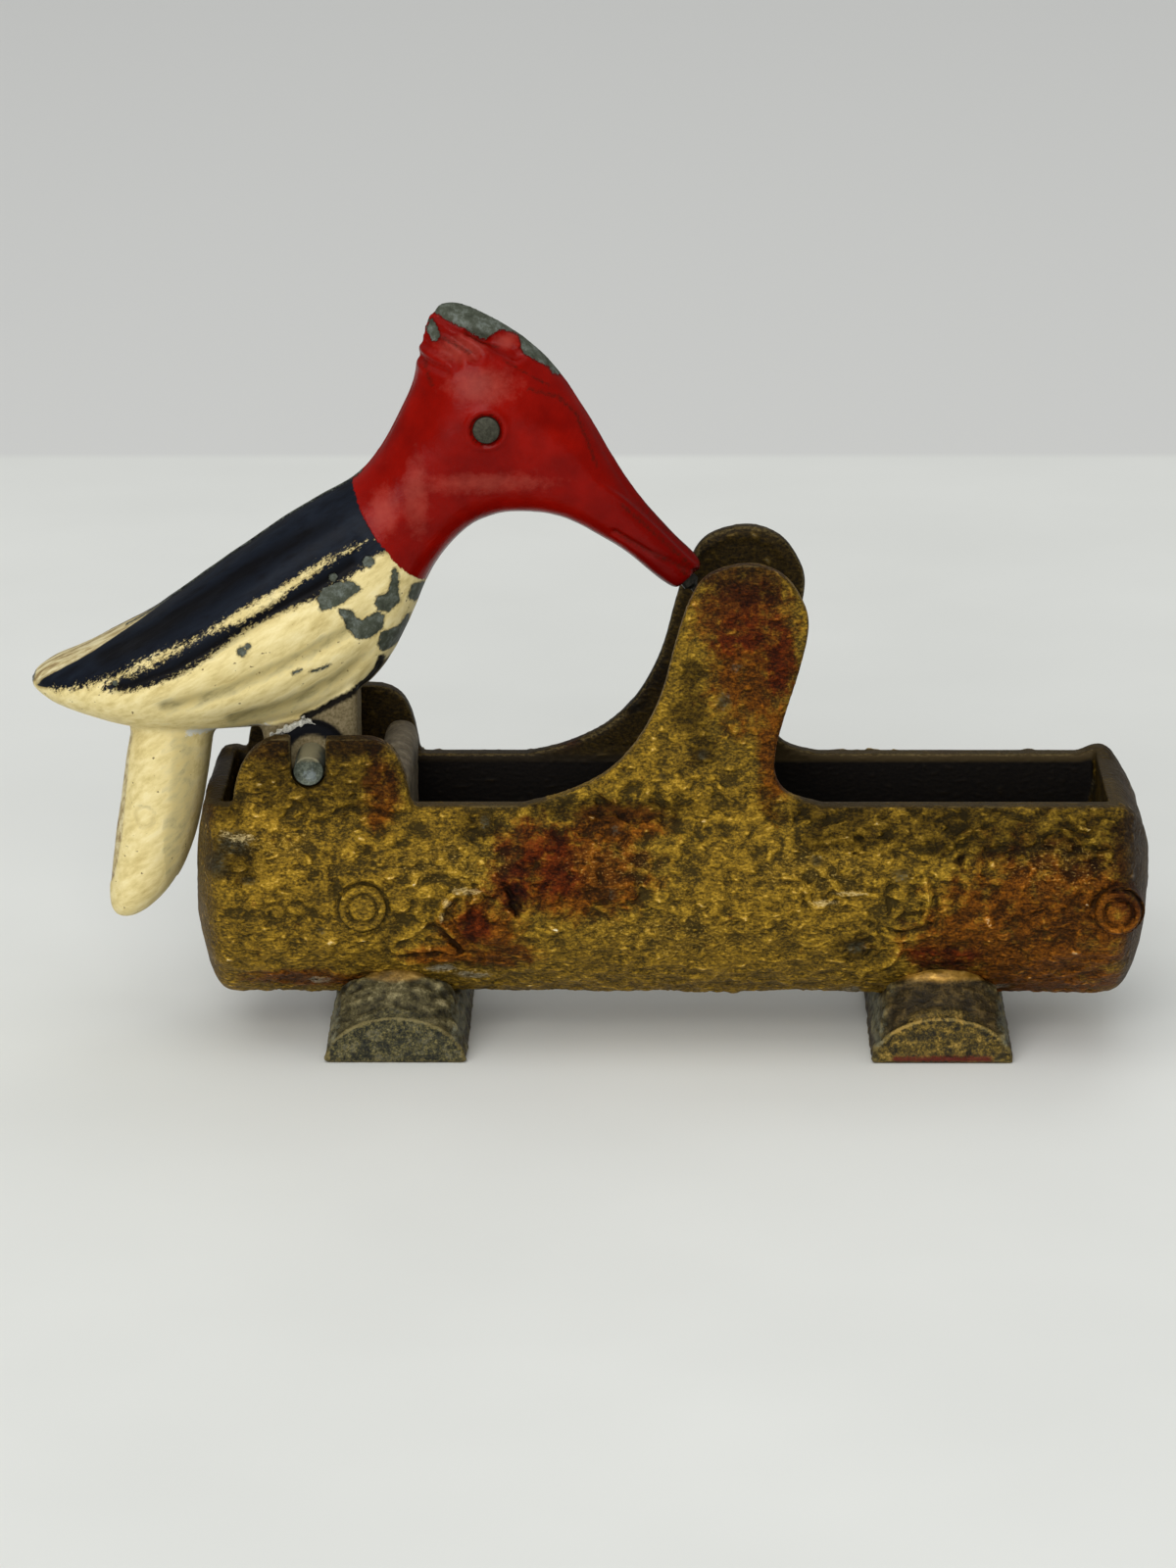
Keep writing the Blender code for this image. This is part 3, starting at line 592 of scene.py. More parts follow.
def bird_enamel():
    """Brushed enamel on a casting: glossy red head, navy wings, cream body, chips to grey metal."""
    made, tree, shader, place = material("bird_enamel")
    turned = node(tree, "Mapping", {"Vector": place, "Rotation": (0.0, WING_SLOPE, 0.0)}).outputs["Vector"]
    hair = speckle(tree, stretched(tree, turned, 0.55), 0.36, 5.0, 0.85)
    brush = speckle(tree, stretched(tree, turned, 0.3), 0.9, 4.0, 0.65)
    fine = speckle(tree, place, 0.35, 3.0, 0.65)
    soft = speckle(tree, place, 3.0, 2.0, 0.5)

    # Cream: brushed flat, yellowed, darkened green-brown as grime and painted shade in the flutes, low down
    # and on the tail's right side
    cream = ramp(tree, brush, [(0.25, "#b7a368"), (0.5, "#d5c48b"), (0.75, "#e4d6a4")])
    cream = blend(tree, ragged(tree, "grime_and_shade", brush, 0.4, 0.35, 1.2, 0.8), cream, "#6b6238")
    pits = span(tree, speckle(tree, place, 0.7, 2.0, 0.5), 0.71, 0.74)
    cream = blend(tree, times(tree, pits, 0.8), cream, "#4d3a1c")
    strip = ramp(tree, brush, [(0.35, "#7a6440"), (0.48, "#b3a172"), (0.6, "#d3c79c")])
    cream = blend(tree, value_of(tree, "strip"), cream, strip)
    cream = blend(tree, ragged(tree, "crust", fine, 0.5, 0.5, 0.8), cream, "#c9c8bd")

    # Navy, dry-brushed along its lower edge, with a thin brown halo
    dry = times(tree, value_of(tree, "ragged"), centred(tree, hair, 0.95, 0.28, 0.72))
    edge = plus(tree, value_of(tree, "navy"), dry)
    colour = blend(tree, span(tree, edge, -0.4, -0.05, 0.0, 0.6), cream, "#5f4c22")
    navy = ramp(tree, brush, [(0.3, "#090b11"), (0.55, "#11161f"), (0.8, "#1d242e")])
    # Navy goes near black where grime and painted shade lie
    navy = blend(tree, ragged(tree, "grime_and_shade", brush, 0.4, 0.2, 0.9), navy, "#050508")
    colour = blend(tree, span(tree, edge, -0.04, 0.04), colour, navy)

    # Red over both, with a dull bloom on the high places, lightened as a painted highlight, worn lines on
    # the beak, and painted shade round the eye and along the mouth
    head = plus(tree, value_of(tree, "head"), centred(tree, fine, 0.12))
    red_share = span(tree, head, -0.05, 0.05)
    red = ramp(tree, soft, [(0.3, "#6a0602"), (0.7, "#800a03")])
    red = blend(tree, value_of(tree, "beak"), red, "#5c0402")
    mottle = speckle(tree, place, 0.9, 5.0, 0.7)
    bloom_and_highlight = ragged(tree, "bloom_and_highlight", mottle, 0.3, 0.2, 1.3, 0.5)
    # Painted highlight: the bloom's lighter pink on the brow, neck and cheek
    red = blend(tree, times(tree, bloom_and_highlight, 0.75), red, "#b05244")
    # Dark scuffs, with painted shade in the moat round the eye and along the mouth
    red = blend(tree, ragged(tree, "scuff_and_shade", hair, 0.5, 0.4, 1.1, 0.8), red, "#2f110a")
    colour = blend(tree, red_share, colour, red)

    # Dusty leg, a painted shadow line under the belly, and navy again on the collar over the pin
    dusty = value_of(tree, "dusty")
    colour = blend(tree, dusty, colour, ramp(tree, fine, [(0.3, "#574c33"), (0.7, "#84775a")]))
    colour = blend(tree, value_of(tree, "belly_shadow"), colour, "#120f0b")
    colour = blend(tree, value_of(tree, "collar"), colour, "#0b0c10")

    # Chips down to the metal
    chips = plus(tree, value_of(tree, "chips"), centred(tree, fine, 0.12))
    chip_share = span(tree, chips, -0.02, 0.02)
    colour = blend(tree, span(tree, chips, -0.22, -0.05, 0.0, 0.5), colour, "#3d3420", "MULTIPLY")
    metal = ramp(tree, mottle, [(0.3, "#30332a"), (0.5, "#464a3f"), (0.7, "#6a706a")])
    colour = blend(tree, chip_share, colour, metal)

    # Red glossier than the rest, chips and the leg duller; paint stands proud of the chips
    sheen = {2: span(tree, brush, 0.2, 0.8, 0.36, 0.5), 3: span(tree, bloom_and_highlight, 0.0, 0.5, 0.2, 0.42)}
    rough = node(tree, "Mix", {"Factor": red_share, **sheen}).outputs[0]
    rough = sums(tree, "MAXIMUM", rough, times(tree, chip_share, 0.45))
    rough = sums(tree, "MAXIMUM", rough, times(tree, dusty, 0.75))
    bumped = bump(tree, brush, 0.05)
    bumped = bump(tree, span(tree, chips, -0.08, 0.08, 1.0, 0.0), 0.12, bumped)
    bumped = bump(tree, span(tree, head, -0.1, 0.1), 0.05, bumped)
    bumped = bump(tree, mottle, 0.03, bumped)
    paint(tree, shader, colour, bumped, rough, specular=0.07)
    return made


def dull_steel(name, dark, light, roughness):
    """Drawn steel wire or rod, dulled by age, with fine scratches."""
    made, tree, shader, place = material(name)
    fine = speckle(tree, place, 0.4, 4.0, 0.7)
    colour = ramp(tree, fine, [(0.3, dark), (0.7, light)])
    paint(tree, shader, colour, bump(tree, fine, 0.05), roughness, 0.85)
    return made


def aged_pin():
    """The pin: drawn steel gone greenish grey, dust on its top and a pale painted reflection on its near
    end.
    """
    made, tree, shader, place = material("aged_pin_steel")
    fine = speckle(tree, place, 0.35, 4.0, 0.7)
    mottle = speckle(tree, place, 0.8, 4.0, 0.65)
    colour = ramp(tree, fine, [(0.3, "#282c24"), (0.5, "#3f443a"), (0.7, "#62675a")])
    # Painted reflection: a pale bluish patch low on the near end
    reflection_at = tuple(value * MM for value in (PIN[0] + 0.2, -PIN_LENGTH / 2, PIN[2] - 0.35))
    gap = node(tree, "VectorMath", {0: place, 1: reflection_at}, operation="DISTANCE").outputs["Value"]
    painted_reflection = plus(tree, span(tree, gap, 0.2 * MM, 1.1 * MM, 1.0, 0.0), centred(tree, mottle, 0.5))
    colour = blend(tree, span(tree, painted_reflection, 0.4, 0.9, 0.0, 0.45), colour, "#848d8f")
    height = node(tree, "SeparateXYZ", {"Vector": place}).outputs["Z"]
    dust = span(tree, height, (PIN[2] + 0.7) * MM, (PIN[2] + 1.5) * MM)
    dust = span(tree, plus(tree, dust, centred(tree, mottle, 0.3)), 0.3, 0.9, 0.0, 0.85)
    colour = blend(tree, dust, colour, "#8b8468")
    rough = span(tree, dust, 0.0, 0.85, 0.42, 0.75)
    paint(tree, shader, colour, bump(tree, fine, 0.06), rough, 0.55, 0.3)
    return made


def chalky_residue():
    """White, crumbly corrosion."""
    made, tree, shader, place = material("chalky_residue")
    fine = speckle(tree, place, 0.4, 5.0, 0.75)
    colour = ramp(tree, fine, [(0.3, "#7d7a6c"), (0.5, "#aeaca0"), (0.7, "#d6d4c9")])
    paint(tree, shader, colour, bump(tree, fine, 0.15), 0.8)
    return made


# Log: bark, knots and folds

LOG_GRAIN = 0.36
LOG_TRIANGLES = 192000.0

# Heights of the bark's crinkles, pebbles, crumbs and long waves, and the limits of the whole
CRINKLE_HEIGHT = 0.125
PEBBLE_HEIGHT = 0.105
CRUMB_HEIGHT = 0.12
WAVE_HEIGHT = 0.26
BARK_LIMITS = (-0.7, 0.8)

# How much finer noise runs across the log than along it
CRINKLE_GRAIN = np.array((0.6, 1.0, 1.0))
PEBBLE_GRAIN = np.array((0.75, 1.0, 1.0))

# Round knots: x, z, radius of the outer groove, radius of the inner groove, rise
KNOTS = (
    (-24.0, 17.4, 2.7, 1.6, 0.25),
    (-33.3, 16.7, 1.2, 0.6, 0.06),
    (56.3, 17.3, 2.7, 1.75, 0.5),
)
END_KNOT = KNOTS[2][:2]

# Raised folds of bark: height, half width, then (x, z) points
FOLDS = (
    (0.35, 0.4, ((-21.2, 12.8), (-19.9, 14.1), (-18.3, 15.0), (-17.1, 15.9), (-16.7, 17.0))),
    (0.35, 0.35, ((-15.9, 15.9), (-15.7, 16.8), (-15.4, 17.5), (-14.8, 18.2), (-14.1, 18.9),
        (-13.0, 19.3), (-11.2, 19.3))),
    (0.25, 0.22, ((-15.5, 15.6), (-14.7, 14.6), (-13.8, 13.5), (-13.3, 12.5))),
    (0.22, 0.2, ((-10.9, 18.4), (-10.0, 17.3), (-9.1, 16.3), (-8.6, 15.6))),
    (0.4, 0.5, ((-20.6, 11.9), (-19.7, 12.4), (-18.4, 12.7), (-16.8, 12.7), (-15.5, 12.4), (-14.2, 11.9))),
    (0.35, 0.45, ((-20.8, 11.0), (-19.0, 10.8), (-16.9, 11.0), (-14.8, 11.1), (-12.9, 10.9))),
    (0.2, 0.3, ((-10.4, 13.6), (-7.6, 14.2), (-4.7, 14.7), (-1.6, 15.3))),
    (0.35, 0.28, ((20.8, 20.7), (22.6, 20.5), (23.2, 19.0), (24.1, 17.9), (25.0, 17.9), (25.9, 18.7))),
    (0.35, 0.28, ((25.9, 18.7), (27.4, 19.0), (29.1, 19.0), (30.6, 18.7))),
    (0.28, 0.3, ((24.4, 24.5), (25.9, 24.7), (27.6, 24.8), (28.8, 24.3), (29.0, 23.4))),
    (0.3, 0.28, ((35.7, 20.5), (36.1, 19.0), (36.0, 17.1), (35.4, 15.6))),
    (0.3, 0.35, ((29.8, 14.7), (31.3, 14.2), (33.4, 13.7), (35.5, 13.9), (36.8, 14.6))),
    (0.35, 0.4, ((33.1, 12.4), (32.9, 11.5), (32.0, 10.3), (31.1, 9.9), (29.9, 9.7), (29.1, 8.6))),
    (0.2, 0.25, ((30.7, 14.0), (31.2, 13.0), (31.2, 12.3), (30.5, 11.7))),
    (0.28, 0.35, ((35.6, 22.9), (37.4, 23.1), (39.2, 24.5), (40.4, 25.6), (41.6, 25.9))),
    (0.22, 0.3, ((48.4, 24.8), (49.9, 24.7), (51.1, 24.0))),
    (0.25, 0.3, ((50.5, 25.6), (52.0, 24.8), (53.4, 23.4), (55.5, 23.1))),
    (0.2, 0.3, ((51.1, 26.9), (52.3, 25.9), (54.1, 25.6), (55.8, 26.2))),
)

# Cracks: depth, half width, then (x, z) points
CRACKS = (
    (0.28, 0.2, ((-26.9, 11.5), (-26.9, 12.8), (-25.9, 13.2), (-23.6, 13.3), (-22.1, 13.2), (-21.4, 13.9))),
    (0.5, 0.35, ((-17.1, 15.2), (-16.1, 15.0), (-14.9, 14.1), (-14.2, 13.0), (-13.7, 11.9))),
    (0.35, 0.22, ((-20.8, 11.5), (-18.4, 11.5), (-15.8, 11.7), (-13.7, 11.5))),
    (0.2, 0.2, ((-20.4, 16.3), (-19.6, 15.9), (-18.5, 16.3))),
    (0.3, 0.2, ((-15.0, 16.2), (-14.8, 17.2), (-13.8, 18.2), (-12.2, 18.5), (-10.8, 17.7), (-9.8, 16.2),
        (-9.9, 14.4), (-11.0, 13.0))),
    (0.2, 0.16, ((-13.8, 17.4), (-12.2, 16.4), (-11.2, 14.6))),
    (0.2, 0.16, ((-12.6, 17.9), (-10.8, 16.2), (-10.4, 14.6))),
    (0.2, 0.16, ((-14.4, 16.4), (-13.2, 15.2), (-12.6, 13.4))),
    (0.5, 0.35, ((-8.8, 20.0), (-8.0, 18.4), (-7.6, 16.8))),
    (0.2, 0.16, ((25.1, 17.1), (26.5, 17.3), (28.0, 17.7))),
    (0.24, 0.2, ((32.0, 16.6), (31.7, 18.7), (32.1, 20.2), (33.3, 21.1))),
    (0.24, 0.22, ((36.8, 19.9), (37.2, 17.7), (37.1, 15.4))),
    (0.35, 0.25, ((29.8, 15.8), (31.3, 15.3), (33.4, 14.6), (35.5, 14.8), (36.6, 15.4))),
    (0.13, 0.15, ((32.7, 20.2), (32.6, 17.1))),
    (0.13, 0.15, ((33.6, 19.9), (33.5, 16.1))),
    (0.13, 0.15, ((34.5, 20.5), (34.4, 16.4))),
    (0.13, 0.15, ((35.4, 18.7), (35.1, 16.0))),
    (0.35, 0.28, ((39.2, 24.0), (39.7, 22.3))),
    (0.22, 0.2, ((-30.8, 28.9), (-29.4, 28.7), (-28.0, 28.8))),
    (0.2, 0.18, ((13.2, 31.7), (17.1, 31.9), (19.4, 31.9))),
    (0.3, 0.22, ((13.4, 29.2), (14.8, 29.2))),
    (0.12, 0.2, ((13.2, 32.5), (13.1, 28.6))),
    (0.2, 0.25, ((19.2, 29.3), (19.5, 26.9))),
)

# Colour patches on the near side, the pale flecks among them painted glints: x, z, half length, half height
PATCHES = {
    "rust": (
        (-5.7, 24.2, 5.0, 2.6), (-8.4, 20.4, 2.6, 3.2), (-3.2, 20.6, 3.0, 2.4), (-12.0, 15.6, 2.0, 2.2),
        (37.5, 11.2, 5.0, 1.6), (16.4, 48.4, 6.0, 4.8), (20.4, 43.0, 2.0, 5.0), (13.6, 48.8, 1.8, 1.8),
    ),
    "amber": (
        (49.5, 15.5, 14.0, 10.0), (41.0, 13.0, 8.0, 6.0), (-11.5, 15.0, 5.0, 4.5), (-1.5, 21.0, 9.0, 5.5),
        (17.5, 42.5, 5.0, 7.5), (19.8, 34.0, 2.2, 7.5), (-15.0, 11.8, 5.5, 1.6), (-22.0, 29.5, 2.2, 5.0),
        (48.0, 8.0, 12.0, 5.0), (3.0, 26.0, 6.0, 2.4), (-10.0, 11.5, 5.0, 2.0), (-30.0, 8.0, 8.0, 1.6),
    ),
    "plum": (
        (16.5, 52.2, 6.0, 3.2), (57.5, 22.0, 2.4, 6.0), (-33.8, 34.6, 3.4, 2.2), (-24.8, 35.0, 4.8, 1.8),
        (-43.6, 20.0, 1.6, 12.0), (-40.8, 28.0, 1.6, 3.0), (-7.6, 18.4, 1.2, 1.8), (38.0, 10.0, 4.0, 1.2),
    ),
    "soot": (
        (10.6, 37.8, 2.2, 3.0), (12.2, 34.0, 1.6, 2.2), (11.0, 42.0, 1.6, 2.0), (29.0, 25.6, 6.0, 2.2),
        (24.0, 24.8, 2.2, 1.8), (45.0, 25.0, 12.0, 2.8), (-38.0, 22.8, 4.0, 3.0), (-12.0, 25.8, 3.0, 1.6),
        (28.0, 12.6, 2.6, 2.0), (-38.5, 28.0, 2.0, 2.4), (-28.0, 32.0, 11.0, 5.2), (40.0, 25.4, 11.0, 3.0),
        (3.0, 27.4, 10.0, 1.4), (26.0, 27.4, 8.0, 1.4), (53.0, 25.0, 5.0, 4.0),
    ),
    "bare": (
        (14.4, 39.2, 1.1, 1.4), (15.8, 42.8, 1.0, 0.7), (12.2, 33.3, 0.9, 0.9), (7.9, 31.0, 0.6, 0.6),
        (24.2, 22.6, 1.0, 0.9), (28.5, 12.6, 1.6, 1.0), (-37.5, 24.4, 2.6, 1.6), (-39.5, 22.0, 1.5, 2.0),
        (-28.5, 14.7, 0.7, 0.6), (-36.0, 20.4, 1.2, 0.6), (33.2, 21.0, 1.4, 1.0), (-10.9, 26.4, 0.8, 1.2),
        (3.0, 25.6, 0.8, 0.7), (2.5, 19.0, 0.7, 0.9),
    ),
    "crust": (
        (-29.0, 7.8, 1.8, 0.8), (-15.8, 9.6, 2.4, 0.6), (-12.5, 8.7, 2.8, 0.7), (-17.0, 7.2, 2.2, 1.2),
        (28.4, 5.5, 1.4, 1.6), (44.2, 6.4, 1.5, 0.8),
    ),
    # Pale flecks over the bark's upper band: painted glints
    "painted_glints": (
        (-15.0, 22.3, 10.0, 3.4), (3.0, 22.0, 9.0, 4.0), (24.0, 21.5, 9.0, 3.6), (-33.0, 24.5, 6.0, 3.0),
        (8.0, 14.0, 14.0, 4.0), (50.0, 22.0, 8.0, 4.0),
    ),
    "pale": (
        (-13.0, 19.3, 2.2, 0.5), (-15.0, 18.0, 0.7, 0.7), (-36.8, 24.8, 1.8, 0.6), (-38.8, 25.2, 0.8, 0.5),
        (-15.6, 16.4, 0.4, 0.8), (25.0, 18.1, 2.0, 0.4), (28.0, 19.1, 2.4, 0.35),
    ),
}


def on_bark(x, z, side=-1):
    """The point of the log's round surface at x and z."""
    return (x, side * math.sqrt(max(LOG_RADIUS ** 2 - (z - LOG_AXIS_Z) ** 2, 0.1)), z)


def near_side_x(places):
    """x for the near side, and x turned end for end about the log's middle for the far one."""
    return np.where(places[:, 1] < 0.0, places[:, 0], 2.0 * LOG_MIDDLE_X - places[:, 0])


def on_near_side(places):
    """Each place, or for the far side its twin on the near one."""
    return np.stack([near_side_x(places), -np.abs(places[:, 1]), places[:, 2]], axis=1)


def bark_share(places, facing):
    """1 on the bark side of the log, its plates and ears, 0 on cut faces and inside."""
    x, y, z = places.T
    radial = np.stack([np.zeros_like(y), y, z - LOG_AXIS_Z], axis=1)
    distance = np.linalg.norm(radial, axis=1)
    outward = (facing * radial).sum(axis=1) / np.maximum(distance, 0.1)
    round_part = ease(outward, 0.35, 0.75) * ease(distance, 12.6, 13.4) * (z < RIM_Z - 0.1)
    plate_part = ease(facing[:, 1] * np.sign(y), 0.4, 0.8) * (z >= RIM_Z - 0.1) * (np.abs(y) > 8.6)
    ends = ease(np.abs(facing[:, 0]), 0.3, 0.7) * (np.abs(x - LOG_MIDDLE_X) > LOG_LENGTH / 2 + 0.1)
    return np.maximum(np.maximum(round_part, plate_part), 0.55 * ends)


# Fine border on the inner faces of the stump's plates, as (x, z)
PLATE_BORDER = (
    (-1.5, 30.6), (3.5, 34.2), (7.0, 40.4), (9.6, 47.0), (11.9, 50.9), (14.6, 52.4), (17.2, 52.7),
    (19.9, 51.9), (21.5, 49.8), (21.9, 46.9), (21.2, 43.0), (19.9, 38.4), (19.0, 34.0), (19.0, 30.0),
)


# Far corners of the rim as (x, y), and how far they are bent up
FAR_CORNERS = ((-39.6, 10.4), (55.9, 10.4))
CORNER_RISE = 0.75


def raise_corners(log):
    """Bend up the rim's two far corners a little, as on the real casting."""
    places = points(log)
    for x, y in FAR_CORNERS:
        gap = np.hypot(places[:, 0] - x, places[:, 1] - y)
        places[:, 2] += CORNER_RISE * (1.0 - ease(gap, 0.5, 2.8)) * ease(places[:, 2], 25.2, 27.6)
    move_to(log, places)


# The trough's right end: x of the wall's inner and outer face at the rim, and how far the
# inner one is drawn out
END_WALL_X = (53.96, 56.06)
END_WALL_DRAW = 1.45


def thin_end_wall(log):
    """Draw the trough's right end out to a thin edge, as the photograph shows it."""
    places = points(log)
    x = places[:, 0]
    inner, outer = END_WALL_X
    drawn = END_WALL_DRAW * ease(x, 47.0, inner) * (1.0 - np.clip((x - inner) / (outer - inner), 0.0, 1.0))
    places[:, 0] += drawn * ease(places[:, 2], 16.0, 26.0)
    move_to(log, places)


def mark_gap(places, reach):
    """Distance from each place of the bark to the nearest knot ring, fold or crack, up to a reach."""
    mirrored = on_near_side(places)
    gap = np.full(len(places), reach)
    for x, z, outer, inner, _ in KNOTS:
        distance = np.linalg.norm(places - np.array(on_bark(x, z)), axis=1)
        gap = np.minimum(gap, np.minimum(np.abs(distance - outer), np.abs(distance - inner)))
    for _, _, line in FOLDS + CRACKS:
        gap = np.minimum(gap, line_distance(mirrored, [on_bark(x, z) for x, z in line]))
    return gap


def refine_marks(log):
    """Cut the faces near knots, folds and cracks finer, twice, so that these come out crisp."""
    far = 9.0
    for reach in (0.8, 0.5):
        centres = np.empty(len(log.data.polygons) * 3)
        log.data.polygons.foreach_get("center", centres)
        near = mark_gap(centres.reshape(-1, 3) / MM, far) < reach
        edit_faces(log, near)
        bpy.ops.mesh.subdivide(number_cuts=1)
        bpy.ops.object.mode_set(mode="OBJECT")


def sculpt_bark(spots):
    """How far each spot of the bark moves out, and its relief for the paint."""
    # Crust all over: crinkles and lumps, calmer low down, at the ends and near corners
    lumpy = 0.5 + 0.5 * ease(spots[:, 2], 10.0, 20.0)
    lumpy *= 1.0 - 0.75 * ease(np.abs(spots[:, 0] - LOG_MIDDLE_X), 45.5, 48.5)
    lumpy *= 1.0 - 0.5 * ease(spots[:, 2], 28.0, 34.0)
    drift = np.stack([cloudy(spots, 3.4, seed) for seed in (1.3, 2.6, 3.9)], axis=1)
    drifted = spots + 0.8 * drift
    crust = CRINKLE_HEIGHT * crinkled(drifted * CRINKLE_GRAIN, 1.7, 5.5)
    crust += PEBBLE_HEIGHT * pebbly(drifted * PEBBLE_GRAIN, 1.5, 2.2)
    crust += CRUMB_HEIGHT * cloudy(spots, 0.8, 7.7)
    wave = WAVE_HEIGHT * cloudy(spots * CRINKLE_GRAIN, 3.4, 5.9)

    # Knots on the near side; folds and cracks there, and turned end for end on the far side
    marks = np.zeros(len(spots))
    lift = np.zeros(len(spots))
    calm = np.ones(len(spots))
    near = spots[:, 1] < 0.0
    for x, z, outer, inner, rise in KNOTS:
        strength = min(rise / 0.15, 1.0)
        gap = np.linalg.norm(spots - np.array(on_bark(x, z)), axis=1)
        lift += rise * ease(outer - gap, -0.1, 0.35) * near
        ring = -0.4 * strength * ridge(gap - outer, 0.22)
        ring += -0.34 * strength * ridge(gap - inner, 0.2)
        marks += ring * near
        calm *= 1.0 - 0.75 * strength * ease(outer + 0.5 - gap, 0.0, 0.6) * near
    wandering = on_near_side(spots) + 0.3 * drift[:, ::-1]
    wandering += 0.12 * cloudy(spots, 0.9, 4.4)[:, None]
    for height, half, line in FOLDS:
        gap = line_distance(wandering, [on_bark(x, z) for x, z in line])
        marks += height * (ridge(gap, half) - 0.3 * ridge(gap - 2.0 * half, half))
    for depth, half, line in CRACKS:
        gap = line_distance(wandering, [on_bark(x, z) for x, z in line])
        marks -= depth * ridge(gap, half)
    moved = np.clip((crust * lumpy + wave) * calm + marks + lift, *BARK_LIMITS)
    return moved, crust * lumpy * calm + marks + 0.3 * wave + 0.3 * lift


def keep_log_paint(log, places, facing, share, inside_face):
    """Keep where the trough's inside, the end faces, the rim and the colour patches lie."""
    x, y, z = places.T
    from_middle = np.abs(x - LOG_MIDDLE_X)
    radial = np.hypot(y, z - LOG_AXIS_Z)

    # Inside: painted shade, near black, over the trough, lighter high on its end wall as painted light, and
    # over all that the far plate and rim shade
    inner = (1.0 - share) * ease(RIM_Z + 0.1 - z, 0.04, 0.3) * (radial < 13.6) * (from_middle < 47.4)
    inner *= 1.0 - 0.4 * (facing[:, 0] < -0.6) * ease(x, 54.0, 55.0) * ease(z, 18.0, 24.0)
    far_edge = (share < 0.3) & (z > RIM_Z + 0.3) & (y > 0.0)
    far_rim = (y > 0.0) * (np.abs(z - RIM_Z) < 0.9) * (radial < 14.6) * (share < 0.6)
    shaded = far_rim * ease(18.0 - x, 0.0, 6.0)
    layer(log, "inner", np.max([inner, 0.8 * shaded, inside_face * 0.9, far_edge * 0.85], axis=0))
    rim = 0.8 * (facing[:, 2] > 0.8) * (np.abs(z - RIM_Z) < 0.6) * (share < 0.5)
    layer(log, "rim", np.maximum(rim * (1.0 - shaded), far_rim * (0.9 - 0.65 * shaded)))

    # Brown end faces, but not the middle of each and not the end knot
    ends = ease(from_middle, 47.9, 49.2) * (radial > 3.6)
    knot_gap = np.linalg.norm(places - np.array(on_bark(*END_KNOT)), axis=1)
    layer(log, "dome", np.where(x < 0.0, 0.5, 0.85) * ends * ease(knot_gap, 3.0, 3.6))
    across = near_side_x(places)
    for name, patches in PATCHES.items():
        total = np.zeros(len(places))
        for patch_x, patch_z, half_x, half_z in patches:
            reach = np.hypot((across - patch_x) / half_x, (z - patch_z) / half_z)
            total = np.maximum(total, 1.0 - ease(reach, 0.35, 1.5))
        layer(log, name, total * (0.5 if name == "painted_glints" else 1.0))


def build_log():
    """The hollow log: a copy of its solid, finely covered, with bark sculpted on its outside."""
    log = cast_copy("log_casting", "log_bark", LOG_GRAIN, 2)
    thin_inside(log)
    thin_end_wall(log)
    refine_marks(log)
    places = points(log)
    facing = normals(log)
    share = bark_share(places, facing)
    corner = ease(sharpness(log, 3), 0.02, 0.08)
    bark = share > 0.01
    moved = np.zeros(len(places))
    relief = np.zeros(len(places))
    moved[bark], relief[bark] = sculpt_bark(places[bark])
    moved *= share
    moved *= 1.0 - 0.8 * corner

    # Border line on the inner faces of the stump's plates
    inside_face = (facing[:, 1] * np.sign(places[:, 1]) < -0.6) & (places[:, 2] > RIM_Z)
    gap = line_distance(places[:, [0, 2]], PLATE_BORDER)
    push(log, moved + np.where(inside_face, 0.12 * ridge(gap, 0.3), 0.0))
    raise_corners(log)
    layer(log, "relief", relief * share)
    layer(log, "edge", sharpness(log, 3) * (share < 0.9))
    keep_log_paint(log, places, facing, share, inside_face)

    # Plain walls keep their few faces; the bark is thinned to what one piece may hold
    triangles = sum(face.loop_total - 2 for face in log.data.polygons)
    group = log.vertex_groups.new(name="bark")
    group.add([int(index) for index in np.nonzero(bark)[0]], 1.0, "REPLACE")
    shape(log, "DECIMATE", ratio=min(LOG_TRIANGLES / triangles, 1.0), vertex_group="bark")
    log.vertex_groups.clear()
    log.data.shade_smooth()
    return log


# Feet

# Half width and height of the arch on a foot's front face
ARCH_HALF = 7.4
ARCH_HEIGHT = 4.9
BEAD_STEPS = 12


def solder_arc(middle_x, side, half_width):
    """Points of the bead of solder between a foot's front and the log."""
    arc = []
    for step in range(BEAD_STEPS + 1):
        angle = math.radians(20.0 + 140.0 * step / BEAD_STEPS)
        z = 7.25 + 1.55 * math.sin(angle)
        depth = math.sqrt(LOG_RADIUS ** 2 - (LOG_AXIS_Z - z) ** 2) + 0.2
        arc.append((middle_x + half_width * math.cos(angle), side * depth, z))
    return arc


